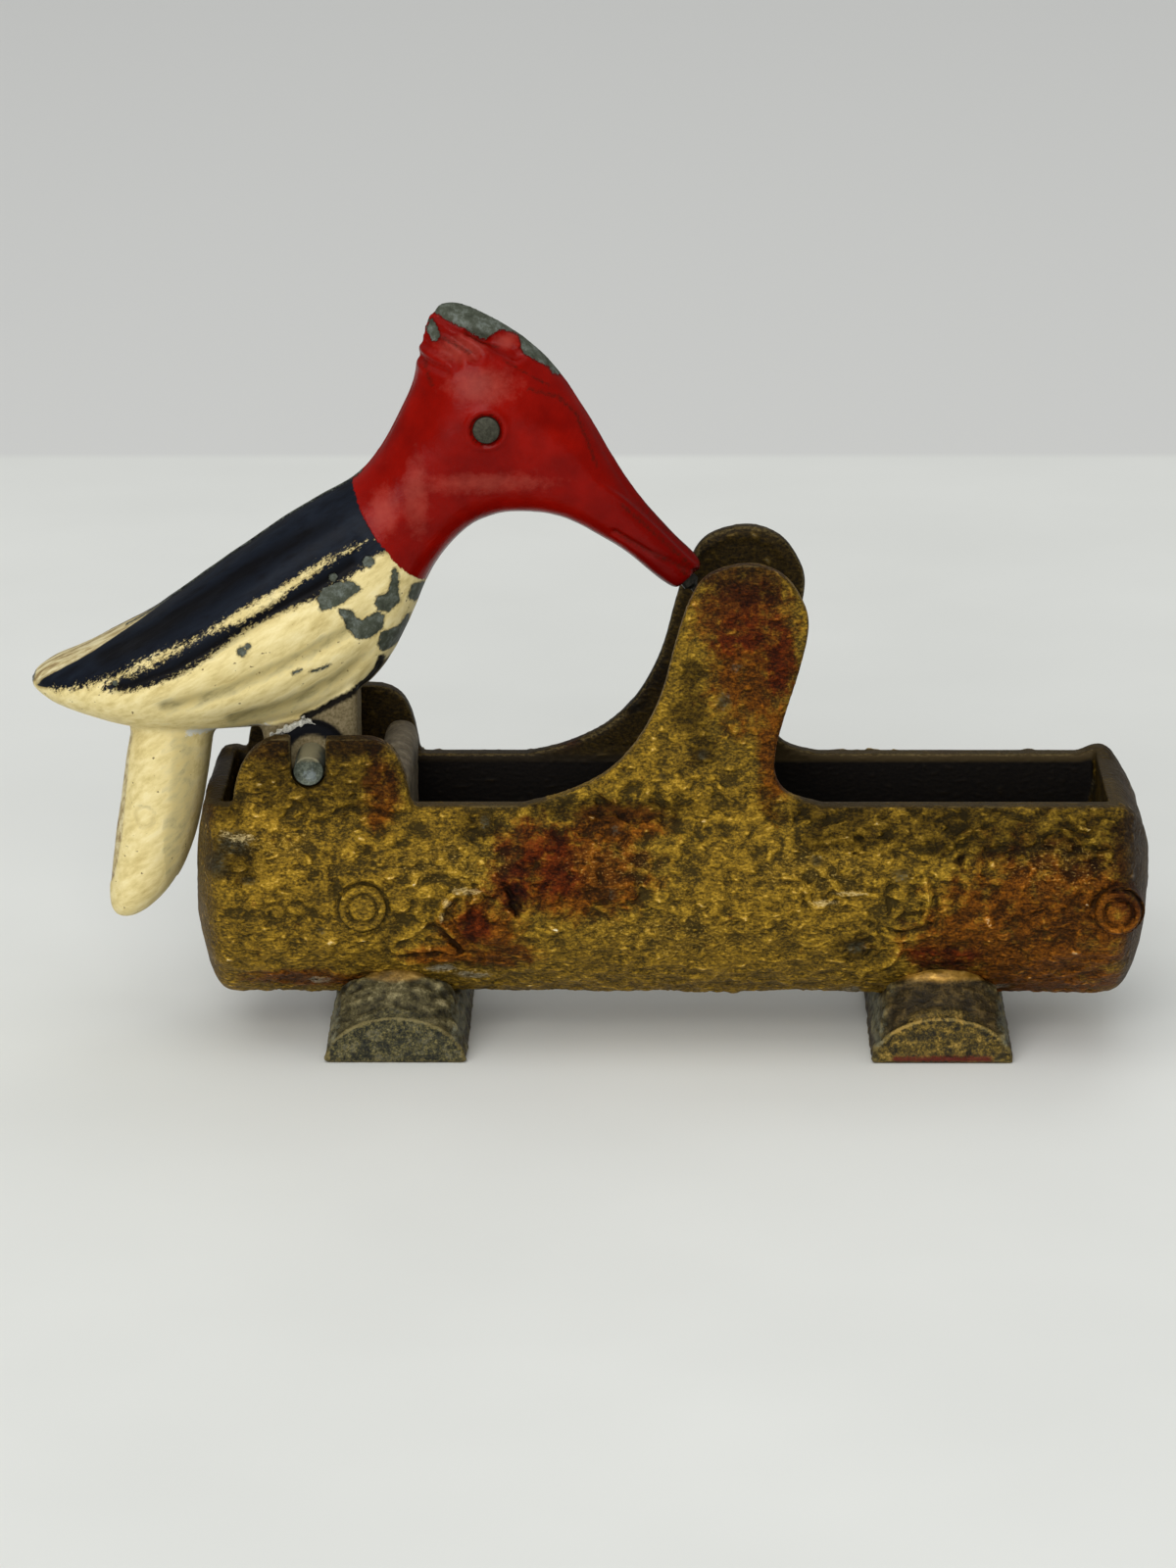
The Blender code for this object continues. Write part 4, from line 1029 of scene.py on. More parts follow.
def build_foot(name, node_name, middle_x, rust):
    """A saddle foot with its lip, its bead against the log and its crust. Rust 1 is the browner foot."""
    foot = cast_copy(node_name, name, 0.3, 1)
    arcs = [solder_arc(middle_x, side, 3.7 + 1.0 * rust) for side in (-1, 1)]
    join(foot, *[beads(name + "_bead", arc, 0.7 + 0.1 * rust) for arc in arcs])
    shape(foot, "REMESH", mode="VOXEL", voxel_size=0.28 * MM)
    shape(foot, "SMOOTH", factor=0.5, iterations=3)
    places = points(foot)
    facing = normals(foot)
    x, y, z = places.T
    across = np.abs(x - middle_x)
    bead_gap = np.min([line_distance(places, arc) for arc in arcs], axis=0)
    bead = 1.0 - ease(bead_gap + 0.12 * across, 1.0, 1.4)
    face = ease(np.abs(facing[:, 1]), 0.72, 0.92) * ease(np.abs(y), 13.4, 13.9)
    crust = np.maximum(ease(z, 6.0, 8.2), 0.8 * ease(across, 5.4, 6.8) * ease(z, 1.0, 2.5))
    crust *= ease(across, 3.4 + 1.0 * rust, 5.6 + 0.6 * rust)
    sole = ease(z, 0.05, 0.5)
    seat = ease(np.hypot(y, z - LOG_AXIS_Z) - LOG_RADIUS, 0.2, 0.6)
    amount = 0.14 * cloudy(places, 1.3, 2.2) + 0.08 * cloudy(places, 0.6, 9.4)
    amount *= 1.0 - 0.7 * bead
    amount += 0.35 * crust * cloudy(places, 0.9, 6.6)
    cove = (1.0 - face) * (1.0 - bead) * ease(np.abs(y), 10.6, 11.6) * (1.0 - ease(across, 5.5, 6.8))
    amount -= 0.35 * cove
    arch = ARCH_HEIGHT * np.sqrt(np.clip(1.0 - (across / ARCH_HALF) ** 2, 0.0, 1.0))
    ripple = cloudy(np.stack([0.2 * across, 0.5 * y, z - arch], axis=1), 0.55, 3.3)
    amount += (0.09 - 0.05 * rust) * ripple * (1.0 - face) * (1.0 - bead)
    lip = ridge(z - arch - 0.1, 0.24) * ease(np.abs(y), 13.0, 13.6) * (across < 7.0)
    amount += 0.16 * lip
    push(foot, amount * sole * seat)
    layer(foot, "relief", amount + 0.35 * cove)
    layer(foot, "lip", lip)
    layer(foot, "edge", sharpness(foot, 3) * (1.0 - bead))
    layer(foot, "crust", crust * (1.0 - bead))
    layer(foot, "gold", bead * (0.6 + 0.35 * rust))
    layer(foot, "brown", rust * (1.0 - crust))
    layer(foot, "face", face * rust)
    layer(foot, "grey_face", face * (1.0 - rust))
    layer(foot, "rust", rust * face * (1.0 - ease(z, 0.5, 1.4)) * (1.0 - ease(across, 4.8, 6.2)))
    foot.data.shade_smooth()
    return foot


# Bird

# Sections from the wing tip to the beak, from the pin: upper x, z, lower x, z, half width, pinch
BIRD_STATIONS = (
    (-30.5, 8.1, -30.4, 6.6, 2.02, 0.00),
    (-29.0, 9.2, -28.7, 5.3, 3.96, 0.00),
    (-27.5, 10.0, -27.0, 4.4, 5.43, 0.00),
    (-24.3, 11.2, -23.6, 3.3, 7.27, 0.00),
    (-21.1, 12.9, -19.8, 2.2, 8.65, 0.00),
    (-17.8, 14.5, -15.8, 1.9, 9.20, 0.00),
    (-14.6, 16.8, -11.3, 1.8, 9.20, 0.00),
    (-10.3, 19.9, -6.8, 2.0, 9.11, 0.00),
    (-6.1, 22.9, -1.8, 2.7, 8.65, 0.00),
    (-1.8, 25.9, 2.9, 4.5, 7.73, 0.00),
    (2.4, 28.2, 6.6, 7.2, 6.53, 0.00),
    (5.1, 29.7, 9.0, 10.9, 5.70, 0.00),
    (6.9, 31.7, 10.8, 14.9, 5.11, 0.00),
    (8.5, 34.2, 12.2, 18.3, 4.78, 0.00),
    (9.8, 36.9, 13.8, 21.1, 4.74, 0.08),
    (11.3, 39.7, 16.1, 23.7, 4.83, 0.25),
    (11.8, 43.6, 17.7, 24.7, 4.92, 0.45),
    (13.0, 47.5, 19.3, 25.3, 4.97, 0.60),
    (14.9, 48.8, 20.9, 25.7, 4.97, 0.66),
    (18.1, 47.6, 22.8, 25.7, 4.92, 0.60),
    (21.9, 45.4, 25.0, 25.6, 4.78, 0.45),
    (25.3, 42.7, 27.0, 25.1, 4.46, 0.30),
    (27.9, 39.0, 29.0, 24.2, 3.96, 0.18),
    (30.0, 35.7, 30.9, 23.1, 3.45, 0.12),
    (32.1, 31.8, 32.8, 22.0, 3.04, 0.10),
    (34.9, 27.4, 34.9, 20.4, 2.58, 0.08),
    (38.2, 23.7, 36.8, 18.7, 2.21, 0.05),
    (40.9, 21.1, 38.6, 17.4, 1.84, 0.02),
    (41.5, 20.2, 39.1, 17.3, 1.70, 0.00),
    (41.7, 19.8, 39.4, 17.5, 1.38, 0.00),
)

# Tail sections, from the pin: x, z, half chord, half thickness
TAIL_STATIONS = (
    (-15.2, 3.5, 4.69, 4.23),
    (-15.8, 0.0, 4.60, 4.60),
    (-16.3, -3.5, 4.60, 4.60),
    (-17.1, -7.9, 4.55, 4.46),
    (-17.8, -11.2, 4.32, 4.23),
    (-18.7, -14.4, 3.86, 3.86),
    (-19.5, -16.4, 3.31, 3.40),
    (-20.2, -17.9, 2.58, 2.76),
    (-20.7, -18.9, 1.79, 2.02),
    (-21.1, -19.6, 0.78, 0.92),
)

# Outlines of the paint, as (x, z) seen from the side
RED_AREA = [
    (-27.5, 64.0), (-25.6, 62.0), (-24.9, 60.3), (-24.1, 58.3), (-23.3, 56.9), (-22.4, 55.4), (-21.6, 54.5),
    (-20.6, 53.0), (-19.4, 51.7), (-17.8, 50.3), (-15.0, 48.6), (20.0, 40.0), (20.0, 90.0), (-30.0, 90.0),
]
NAVY_AREA = [
    (-59.2, 38.9), (-56.2, 39.2), (-53.6, 40.0), (-51.7, 40.8), (-49.8, 41.8), (-47.3, 43.1), (-45.1, 44.2),
    (-43.2, 45.0), (-41.4, 45.8), (-39.5, 46.9), (-38.0, 47.8), (-36.4, 48.6), (-34.9, 49.5), (-33.4, 50.2),
    (-31.8, 51.3), (-30.3, 52.2), (-28.8, 53.1), (-27.3, 54.0), (-25.7, 54.7), (-24.2, 55.3), (-21.0, 56.4),
    (-21.0, 70.0), (-35.0, 66.0), (-50.0, 56.0), (-60.0, 46.0), (-59.6, 40.2),
]
STREAK_AREA = [
    (-51.6, 39.9), (-49.4, 40.2), (-47.2, 40.8), (-45.1, 41.4), (-43.2, 42.4), (-41.3, 43.4), (-39.5, 44.7),
    (-37.6, 45.8), (-36.1, 46.8), (-34.3, 47.6), (-32.7, 48.3), (-31.2, 48.9), (-29.7, 49.5), (-28.8, 49.9),
    (-27.3, 51.0), (-25.7, 51.9), (-24.2, 52.9), (-22.7, 53.9), (-20.5, 54.5), (-21.0, 56.0), (-22.7, 55.6),
    (-24.2, 54.6), (-25.7, 53.8), (-27.0, 53.1), (-28.2, 52.3), (-29.7, 51.5), (-31.2, 50.6), (-32.4, 49.6),
    (-33.7, 48.7), (-34.9, 48.1), (-37.0, 46.9), (-38.9, 46.1), (-40.4, 45.4), (-42.0, 44.4), (-43.8, 43.2),
    (-46.0, 42.1), (-48.2, 41.2), (-51.3, 40.2),
]
RAGGED_LINES = (NAVY_AREA[1:20], STREAK_AREA[:17], STREAK_AREA[19:])

CHIP_AREAS = (
    [(-28.5, 49.6), (-27.9, 50.5), (-26.7, 51.0), (-25.1, 51.1), (-24.2, 50.3), (-25.2, 49.7),
        (-26.1, 49.1), (-27.3, 48.6), (-28.3, 48.4)],
    [(-26.4, 48.2), (-25.2, 48.0), (-24.7, 47.0), (-24.0, 46.6), (-23.4, 47.0), (-22.5, 47.5),
        (-21.9, 47.1), (-22.1, 45.8), (-22.9, 45.1), (-23.7, 44.9), (-24.6, 45.0), (-25.4, 46.1),
        (-25.8, 47.2)],
    [(-20.6, 52.3), (-20.3, 51.5), (-20.4, 49.9), (-20.2, 48.5), (-21.3, 47.6), (-22.2, 48.0),
        (-22.6, 48.7), (-22.3, 49.3), (-21.3, 49.5), (-21.0, 50.3)],
    [(-19.4, 46.4), (-20.2, 45.4), (-21.1, 45.2), (-22.0, 45.1), (-22.3, 43.7), (-22.0, 42.9),
        (-20.9, 43.1), (-19.8, 44.0)],
    [(-17.8, 49.9), (-18.7, 50.0), (-19.1, 48.7), (-18.5, 48.0), (-17.6, 48.5)],
    [(-17.1, 77.1), (-16.8, 78.1), (-16.3, 78.4), (-15.9, 77.5), (-15.6, 76.7), (-16.0, 76.2),
        (-16.6, 76.3)],
    [(-16.2, 79.0), (-16.2, 81.0), (-8.0, 80.0), (-3.0, 74.0), (-2.2, 71.9), (-3.6, 72.6), (-4.1, 73.3),
        (-4.9, 73.8), (-5.9, 74.3), (-6.6, 74.8), (-7.1, 75.4), (-7.2, 76.2), (-7.6, 76.7),
        (-8.7, 77.2), (-9.4, 77.3), (-9.9, 76.9), (-10.6, 76.7), (-11.3, 76.9), (-12.4, 77.4),
        (-13.7, 77.9), (-15.0, 78.5)],
)
# Round chips: x, z, radius
CHIP_SPOTS = ((-23.3, 53.2, 0.62), (-36.7, 44.2, 0.5), (-50.4, 40.5, 0.3), (-36.0, 44.7, 0.3),
    (-27.0, 51.7, 0.45))
CHIP_LINES = (((-29.6, 41.6), (-28.5, 41.8), (-27.6, 42.2)), ((-31.4, 41.5), (-30.6, 41.9)))

# Strands of the crest: (x, z) lines of its grooves
CREST_GROOVES = (
    ((-16.0, 78.8), (-14.2, 77.9), (-12.4, 77.2), (-10.8, 76.7)),
    ((-16.6, 77.6), (-15.8, 77.4), (-14.2, 76.6), (-12.6, 75.4), (-11.8, 74.7)),
    ((-17.9, 76.1), (-16.3, 75.4), (-14.4, 74.7), (-13.8, 74.0)),
    ((-17.2, 76.8), (-16.4, 76.4), (-15.0, 75.6), (-13.6, 74.9)),
    ((-18.1, 74.5), (-16.5, 73.8), (-14.9, 73.3)),
    ((-12.4, 77.2), (-10.8, 76.3), (-9.3, 75.3), (-7.7, 74.5)),
    ((-11.3, 76.7), (-9.8, 76.3), (-8.2, 75.5), (-7.0, 74.7)),
)
MOUTH_LINE = ((2.8, 55.6), (4.4, 54.6), (6.5, 53.4), (9.1, 52.2), (11.6, 51.0))

# Long flutes of the wing and belly: height (negative for a groove), half width, then (x, z) points
FLUTES = (
    (0.35, 0.9, ((-48.0, 42.0), (-43.0, 44.2), (-38.0, 46.9), (-33.6, 49.5), (-29.5, 52.2), (-25.0, 55.0))),
    (-0.45, 0.8, ((-50.0, 39.9), (-44.0, 41.9), (-38.5, 45.2), (-33.5, 48.2), (-29.0, 50.4),
        (-25.0, 52.9))),
    (0.25, 1.2, ((-46.0, 39.8), (-40.0, 42.0), (-34.0, 45.0), (-28.5, 47.6))),
    (-0.35, 0.9, ((-45.0, 37.8), (-39.0, 39.6), (-33.0, 42.2), (-27.0, 45.0), (-23.0, 47.6))),
    (0.2, 1.1, ((-41.0, 37.4), (-34.0, 39.8), (-28.0, 42.6), (-23.5, 45.4))),
    (-0.3, 0.9, ((-38.0, 35.9), (-32.0, 37.6), (-27.0, 40.2), (-23.0, 43.0))),
    (-0.3, 1.3, ((-52.0, 43.0), (-46.0, 46.0), (-40.0, 50.0), (-34.0, 54.0), (-28.0, 57.6))),
    (0.25, 1.2, ((-49.0, 42.8), (-43.0, 46.6), (-37.0, 50.4), (-31.0, 54.4), (-26.5, 57.0))),
)

# Dull bloom on the red, lightened as a painted highlight, as x, z, half length, half height, and its worn
# lines and painted shade lines as half width, points
BLOOM_AND_HIGHLIGHT_SPOTS = (
    (-11.0, 71.8, 4.2, 2.0), (-21.6, 58.4, 1.8, 2.8), (-11.0, 61.3, 8.0, 1.3),
    (-18.2, 60.0, 1.6, 4.5), (-13.5, 75.5, 3.0, 1.6), (-8.5, 76.2, 1.4, 0.8),
)
SCUFF_AND_SHADE_LINES = (
    (0.2, ((-9.0, 74.3), (-7.2, 73.3), (-4.1, 71.6))),
    (0.3, ((-6.2, 71.4), (-3.1, 70.4), (-1.3, 68.6), (0.0, 65.6), (1.0, 63.0))),
    (0.3, ((3.6, 58.6), (6.2, 56.2), (8.4, 54.0), (10.6, 52.0))),
    (0.4, ((-16.3, 77.0), (-12.5, 75.3))),
    (0.35, ((-12.8, 77.2), (-9.5, 75.6))),
    (0.3, ((9.6, 51.4), (10.6, 50.8))),
    (0.4, ((2.8, 55.6), (6.5, 53.4), (11.6, 51.0))),
    (0.35, ((-17.4, 74.0), (-16.4, 71.8))),
)

# Centres of the pin, the eye, the tail's root and the mould's ring on the tail, as (x, z)
PIN_AT = (PIN[0], PIN[2])
EYE = (-10.7, 67.3)
TAIL_ROOT = (-45.6, 34.0)
TAIL_RING = (-48.0, 24.4)

# The head's lowest z, and how far the chips below it are drawn out
HEAD_Z = 60.0
CHIP_GROWTH = 0.14
BIRD_GRAIN = 0.29

# Half width of the cream strip between the wing tips, along x
WING_STRIP_X = (-60.5, -58.8, -57.9, -56.6, -54.7, -52.9, -50.8, -48.7, -46.1, -44.5)
WING_STRIP_HALF = (2.4, 3.4, 3.8, 4.0, 3.9, 3.4, 2.6, 1.5, 0.3, -0.6)
# Brow and cheek: centre (x, z), reach, height
HEAD_SWELLS = (((-10.5, 71.5), 3.6, 0.35), ((-5.0, 63.0), 3.5, -0.25))
BEAK_RIDGE = ((-1.5, 64.5), (0.5, 61.5), (3.6, 59.2), (6.0, 56.9), (8.0, 54.9), (9.9, 53.0), (11.6, 51.3))
# The worn side of the beak, over its ridge
BEAK_TOP = [*BEAK_RIDGE, (20.0, 52.0), (20.0, 80.0), (0.0, 80.0)]
LEG_AREA = [
    (-36.5, 20.0), (-36.5, 34.6), (-33.5, 34.9), (-30.6, 35.6), (-29.2, 36.3), (-27.3, 37.3), (-25.6, 38.2),
    (-24.0, 39.2), (-22.9, 40.4), (-22.4, 41.6), (-20.0, 41.6), (-20.0, 20.0),
]
# Painted shadow line where the belly overhangs the leg, as (x, z)
BELLY_LINE = ((-22.2, 42.0), (-22.8, 40.4), (-24.0, 39.2), (-25.6, 38.2), (-27.3, 37.3), (-29.2, 36.3),
    (-30.6, 35.6))
BELLY_CRUST = ((-43.0, 33.9), (-38.0, 34.0), (-34.5, 34.6))
# Painted shade on the tail's right side, as (x, z)
TAIL_SHADE = [(-44.6, 33.6), (-42.5, 33.4), (-43.4, 24.0), (-46.4, 16.0), (-47.0, 18.0), (-45.2, 25.0)]


def from_pin(stations):
    """Move a table of sections from the pin's frame to the model's."""
    moved = []
    for top_x, top_z, low_x, low_z, *rest in stations:
        moved.append((PIN[0] + top_x, PIN[2] + top_z, PIN[0] + low_x, PIN[2] + low_z, *rest))
    return moved


def rod(name, radius, length, middle, sides=48):
    """A round rod across the model, with these millimetres of radius and length."""
    bpy.ops.mesh.primitive_cylinder_add(
        vertices=sides, radius=radius * MM, depth=length * MM, end_fill_type="NGON",
        location=middle, rotation=(math.pi / 2, 0.0, 0.0),
    )
    return settle(named(name))


def build_hub():
    """The round hub on the leg that the pin passes through."""
    hub = rod("hub", 3.6, 11.2, Vector(PIN) * MM)
    return shape(hub, "BEVEL", width=0.5 * MM, segments=3, limit_method="ANGLE")


def build_leg():
    """The short leg between the belly and the pin."""
    bpy.ops.mesh.primitive_cube_add(size=MM, location=((PIN[0] + 0.1) * MM, 0.0, (PIN[2] + 3.0) * MM))
    leg = bpy.context.object
    leg.scale = (9.6, 8.0, 11.5)
    settle(named("leg"))
    bpy.ops.object.mode_set(mode="EDIT")
    bpy.ops.mesh.select_all(action="DESELECT")
    bpy.ops.object.mode_set(mode="OBJECT")
    for vertex in leg.data.vertices:
        vertex.select = vertex.co.z > PIN[2] * MM and vertex.co.x < PIN[0] * MM
    bpy.ops.object.mode_set(mode="EDIT")
    bpy.ops.transform.translate(value=(-1.4 * MM, 0.0, -3.0 * MM))
    bpy.ops.object.mode_set(mode="OBJECT")
    return shape(leg, "BEVEL", width=1.2 * MM, segments=4)


def soften_root(bird):
    """Round the hollow corner where the tail leaves the body, as in a casting."""
    places = points(bird)
    gap = np.hypot(places[:, 0] - TAIL_ROOT[0], places[:, 1] * 0.9)
    near = (1.0 - ease(gap, 5.5, 8.0)) * (1.0 - ease(np.abs(places[:, 2] - TAIL_ROOT[1]), 1.2, 3.0))
    group = bird.vertex_groups.new(name="root")
    for index in np.nonzero(near > 0.02)[0]:
        group.add([int(index)], float(near[index]), "REPLACE")
    shape(bird, "SMOOTH", factor=0.6, iterations=45, vertex_group="root")
    bird.vertex_groups.clear()


def side_gap(flat, centre):
    """Distance of each place from a centre, both seen from the side as (x, z)."""
    return np.hypot(flat[:, 0] - centre[0], flat[:, 1] - centre[1])


def strip_depth(places, facing):
    """How far each place lies inside the strip between the wing tips, on the back."""
    strip = np.interp(places[:, 0], WING_STRIP_X, WING_STRIP_HALF) - np.abs(places[:, 1])
    return np.where(facing[:, 2] > 0.1, strip, -3.0)


def model_bird():
    """One smooth body with its tail, leg and hub, covered evenly with small faces."""
    body = swept("bird_body", from_pin(BIRD_STATIONS), 32)
    shape(body, "SUBSURF", levels=2, render_levels=2)
    tail_sections = []
    for x, z, chord, thick in TAIL_STATIONS:
        tail_sections.append((PIN[0] + x + chord, PIN[2] + z, PIN[0] + x - chord, PIN[2] + z, thick, 0.0))
    tail = swept("tail", tail_sections, 24)
    shape(tail, "SUBSURF", levels=2, render_levels=2)
    bird = join(body, tail, build_leg(), build_hub())
    bird.name = "bird_enamelled"
    bird.data.name = "bird_enamelled"
    shape(bird, "REMESH", mode="VOXEL", voxel_size=BIRD_GRAIN * MM)
    shape(bird, "SMOOTH", factor=0.5, iterations=5)
    soften_root(bird)
    return bird


def sculpt_bird(places, strip):
    """How far each corner of the bird moves out, and where its grooves darken, as grime and painted shade.
    """
    x, y, z = places.T
    flat = places[:, [0, 2]]
    side = np.abs(y)
    amount = np.zeros(len(places))

    # Crest strands, on both faces of the head and over its back edge
    crest = ease(z, 71.0, 73.5) * np.maximum(ease(side, 0.2, 0.9), 0.45 * ease(-15.0 - x, -0.5, 0.5))
    for line in CREST_GROOVES:
        gap = line_distance(flat, line)
        amount += crest * (-0.42 * ridge(gap, 0.42) + 0.1 * ridge(gap - 0.85, 0.42))

    # Mouth, the worn ridge above it, and the parting line of the mould along the back
    gap = line_distance(flat, MOUTH_LINE)
    amount += -0.35 * ridge(gap, 0.32) * ease(side, 0.3, 0.8)
    gap = line_distance(flat, BEAK_RIDGE)
    above = ease(area_depth(flat, BEAK_TOP), 0.1, 0.6) * ease(side, 0.3, 1.2)
    amount += ease(x, -1.5, 5.0) * (0.16 * ridge(gap, 0.3) - 0.3 * above)
    amount += 0.12 * ridge(side, 0.3) * (x > -45.0)

    # Long flutes, and the strip between the wing tips a step lower
    wing = ease(side, 3.0, 5.0) * (1.0 - ease(x, -25.5, -21.5)) * ease(x, -58.0, -50.0)
    grime_and_shade = np.zeros(len(places))
    for height, half, line in FLUTES:
        profile = ridge(line_distance(flat, line), half) * wing
        amount += height * profile
        if height < 0.0:
            grime_and_shade = np.maximum(grime_and_shade, profile)
    amount -= 0.1 * ease(strip, -0.15, 0.3) * (1.0 - ease(x, -51.0, -47.0))

    # Brow over the eye, hollow cheek, and a bead of paint round the moat where the stud sits
    for centre, reach, height in HEAD_SWELLS:
        amount += height * ridge(side_gap(flat, centre), reach)
    eye = side_gap(flat, EYE)
    amount += (0.26 * ridge(eye - 2.02, 0.3) - 0.45 * ease(1.78 - eye, -0.05, 0.2)) * (side > 2.0)

    # Ring on the tail, left by the mould, and the casting's unevenness, but for the pin's hole
    gap = side_gap(flat, TAIL_RING)
    tail_mark = ridge(gap - 1.25, 0.26) * (y < 0)
    amount += -0.16 * tail_mark + 0.1 * ease(1.1 - gap, 0.0, 0.3) * (y < 0)
    amount += 0.06 * cloudy(places, 4.0, 1.7) + 0.03 * cloudy(places, 1.6, 4.2)
    return amount * ease(side_gap(flat, PIN_AT), 1.4, 2.4), grime_and_shade + 0.5 * tail_mark


def chip_depth(places, facing):
    """How far each place lies inside a chip down to the metal; negative outside."""
    x = places[:, 0]
    flat = places[:, [0, 2]]
    far = -9.0
    chips = np.full(len(places), far)
    for outline in CHIP_AREAS:
        grown = CHIP_GROWTH if outline[0][1] < HEAD_Z else 0.0
        chips = np.maximum(chips, area_depth(flat, outline) + grown)
    for chip_x, chip_z, radius in CHIP_SPOTS:
        chips = np.maximum(chips, radius - side_gap(flat, (chip_x, chip_z)))
    for line in CHIP_LINES:
        chips = np.maximum(chips, 0.12 - line_distance(flat, line))

    # The wing's worn tip, and a line along the back
    chips = np.maximum(chips, -59.8 - x)
    back = (facing[:, 2] > 0.3) * (x < -24.0) * (x > -50.0)
    return np.maximum(chips, np.where(back, 0.12 - 0.35 * np.abs(places[:, 1]), far))


def keep_bird_paint(bird, places, facing, strip, grime_and_shade):
    """Keep where each colour, line, stain and scar of the bird's paint lies."""
    x, y, z = places.T
    flat = places[:, [0, 2]]
    side = np.abs(y)

    # Dusty leg, the painted shadow line over it where the belly overhangs it, and the collar round the pin
    leg_share = ease(area_depth(flat, LEG_AREA), -0.15, 0.15) * (side < 6.2) * (x > -36.4)
    layer(bird, "dusty", leg_share)
    belly_shadow = 0.42 - line_distance(flat, BELLY_LINE) + 0.12 * cloudy(places, 0.8, 3.3)
    layer(bird, "belly_shadow", ease(belly_shadow, -0.05, 0.1) * (side > 1.5))
    hub_gap = side_gap(flat, PIN_AT)
    layer(bird, "collar", ease(hub_gap, 2.2, 2.6) * ease(side, 4.0, 4.3) * (hub_gap < 4.2) * (z < 36.0))

    # Red and navy, with the navy's dry-brushed edges
    layer(bird, "head", area_depth(flat, RED_AREA))
    navy = np.maximum(area_depth(flat, NAVY_AREA), area_depth(flat, STREAK_AREA) + 0.1)
    near_ragged = np.min([line_distance(flat, line) for line in RAGGED_LINES], axis=0)
    speckled = np.maximum(ease(-36.5 - x, 0.0, 5.0), 0.8 * ease(x + 30.5, 0.0, 4.0))
    navy += 0.35 * speckled * ease(x + 52.0, 0.0, 3.0) * (1.0 - ease(near_ragged, 0.6, 1.4))
    navy = np.where(x < -44.0, np.minimum(navy, -strip), navy)
    layer(bird, "navy", navy)
    layer(bird, "ragged", (0.6 + 0.35 * speckled) * (1.0 - ease(near_ragged, 0.9, 2.2)))
    layer(bird, "strip", ease(strip, -0.1, 0.1) * (x < -44.0))

    # Chips; grime and painted shade in the flutes, darker towards the bottom, painted shade on the tail's
    # right side; the crust under the belly; bloom with painted highlights, and scuffs with painted shade
    layer(bird, "chips", chip_depth(places, facing))
    # Darker towards the bottom, and painted shade on the tail's right side
    low = 0.3 * ease(38.0 - z, 0.0, 4.0) * (x > -46.0)
    low += 0.35 * ease(area_depth(flat, TAIL_SHADE), -0.6, 0.4)
    layer(bird, "grime_and_shade", grime_and_shade + low)
    layer(bird, "crust", ease(0.9 - line_distance(flat, BELLY_CRUST), 0.0, 0.9))
    bloom_and_highlight = np.zeros(len(places))
    for middle_x, middle_z, half_x, half_z in BLOOM_AND_HIGHLIGHT_SPOTS:
        reach = np.hypot((x - middle_x) / half_x, (z - middle_z) / half_z)
        bloom_and_highlight = np.maximum(bloom_and_highlight, 1.0 - ease(reach, 0.1, 1.5))
    layer(bird, "bloom_and_highlight", bloom_and_highlight)
    # Painted shade in the moat round the eye stud and along the mouth, worn scuffs elsewhere
    scuff_and_shade = ridge(side_gap(flat, EYE) - 1.68, 0.12)
    for half, line in SCUFF_AND_SHADE_LINES:
        scuff_and_shade = np.maximum(scuff_and_shade, 0.8 * ridge(line_distance(flat, line), half))
    layer(bird, "beak", 0.8 * ease(x, -1.0, 8.0))
    above = ease(area_depth(flat, BEAK_TOP), 0.2, 0.8)
    layer(bird, "scuff_and_shade", np.maximum(scuff_and_shade, 0.75 * above * ease(x, 2.0, 8.0)))


def build_bird():
    """The cast bird, sculpted, with its paint laid out."""
    bird = model_bird()
    places = points(bird)
    facing = normals(bird)
    strip = strip_depth(places, facing)
    amount, grime_and_shade = sculpt_bird(places, strip)
    push(bird, amount)
    keep_bird_paint(bird, places, facing, strip, grime_and_shade)
    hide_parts("bird_casting")
    bird.data.shade_smooth()
    return bird


# Lumps of the white residue under the belly: x, y, z, radius
RESIDUE_LUMPS = (
    (-34.0, -4.4, 33.8, 0.35), (-33.2, -4.6, 34.1, 0.5), (-32.4, -4.8, 34.5, 0.5), (-31.6, -4.9, 34.8, 0.6),
    (-30.8, -5.0, 35.2, 0.6), (-30.0, -5.1, 35.4, 0.5), (-29.4, -5.2, 35.2, 0.35),
        (-30.3, -4.8, 34.6, 0.45),
    (-31.6, -4.6, 34.1, 0.4), (-32.9, -4.4, 33.7, 0.35), (-30.6, -5.3, 35.9, 0.35),
)


def build_residue():
    """A crumbly white crust of corrosion at the belly's lower edge, over the pin."""
    lumps = []
    for x, y, z, radius in RESIDUE_LUMPS:
        place = Vector((x, y, z)) * MM
        bpy.ops.mesh.primitive_ico_sphere_add(subdivisions=2, radius=radius * MM, location=place)
        lumps.append(settle(named("lump")))
    crumbs = join(*lumps)
    crumbs.name = "belly_residue"
    crumbs.data.name = "belly_residue"
    shape(crumbs, "REMESH", mode="VOXEL", voxel_size=0.12 * MM)
    shape(crumbs, "SMOOTH", factor=0.5, iterations=2)
    spots = points(crumbs)
    push(crumbs, 0.45 * cloudy(spots, 0.8, 3.1) + 0.15 * cloudy(spots, 0.25, 6.2) - 0.08)
    crumbs.data.shade_smooth()
    return crumbs


# Insets of the pin's peened ends: thickness, depth
PEEN_STEPS = ((0.12, 0.0), (0.18, -0.10), (0.35, -0.06), (0.45, 0.03))


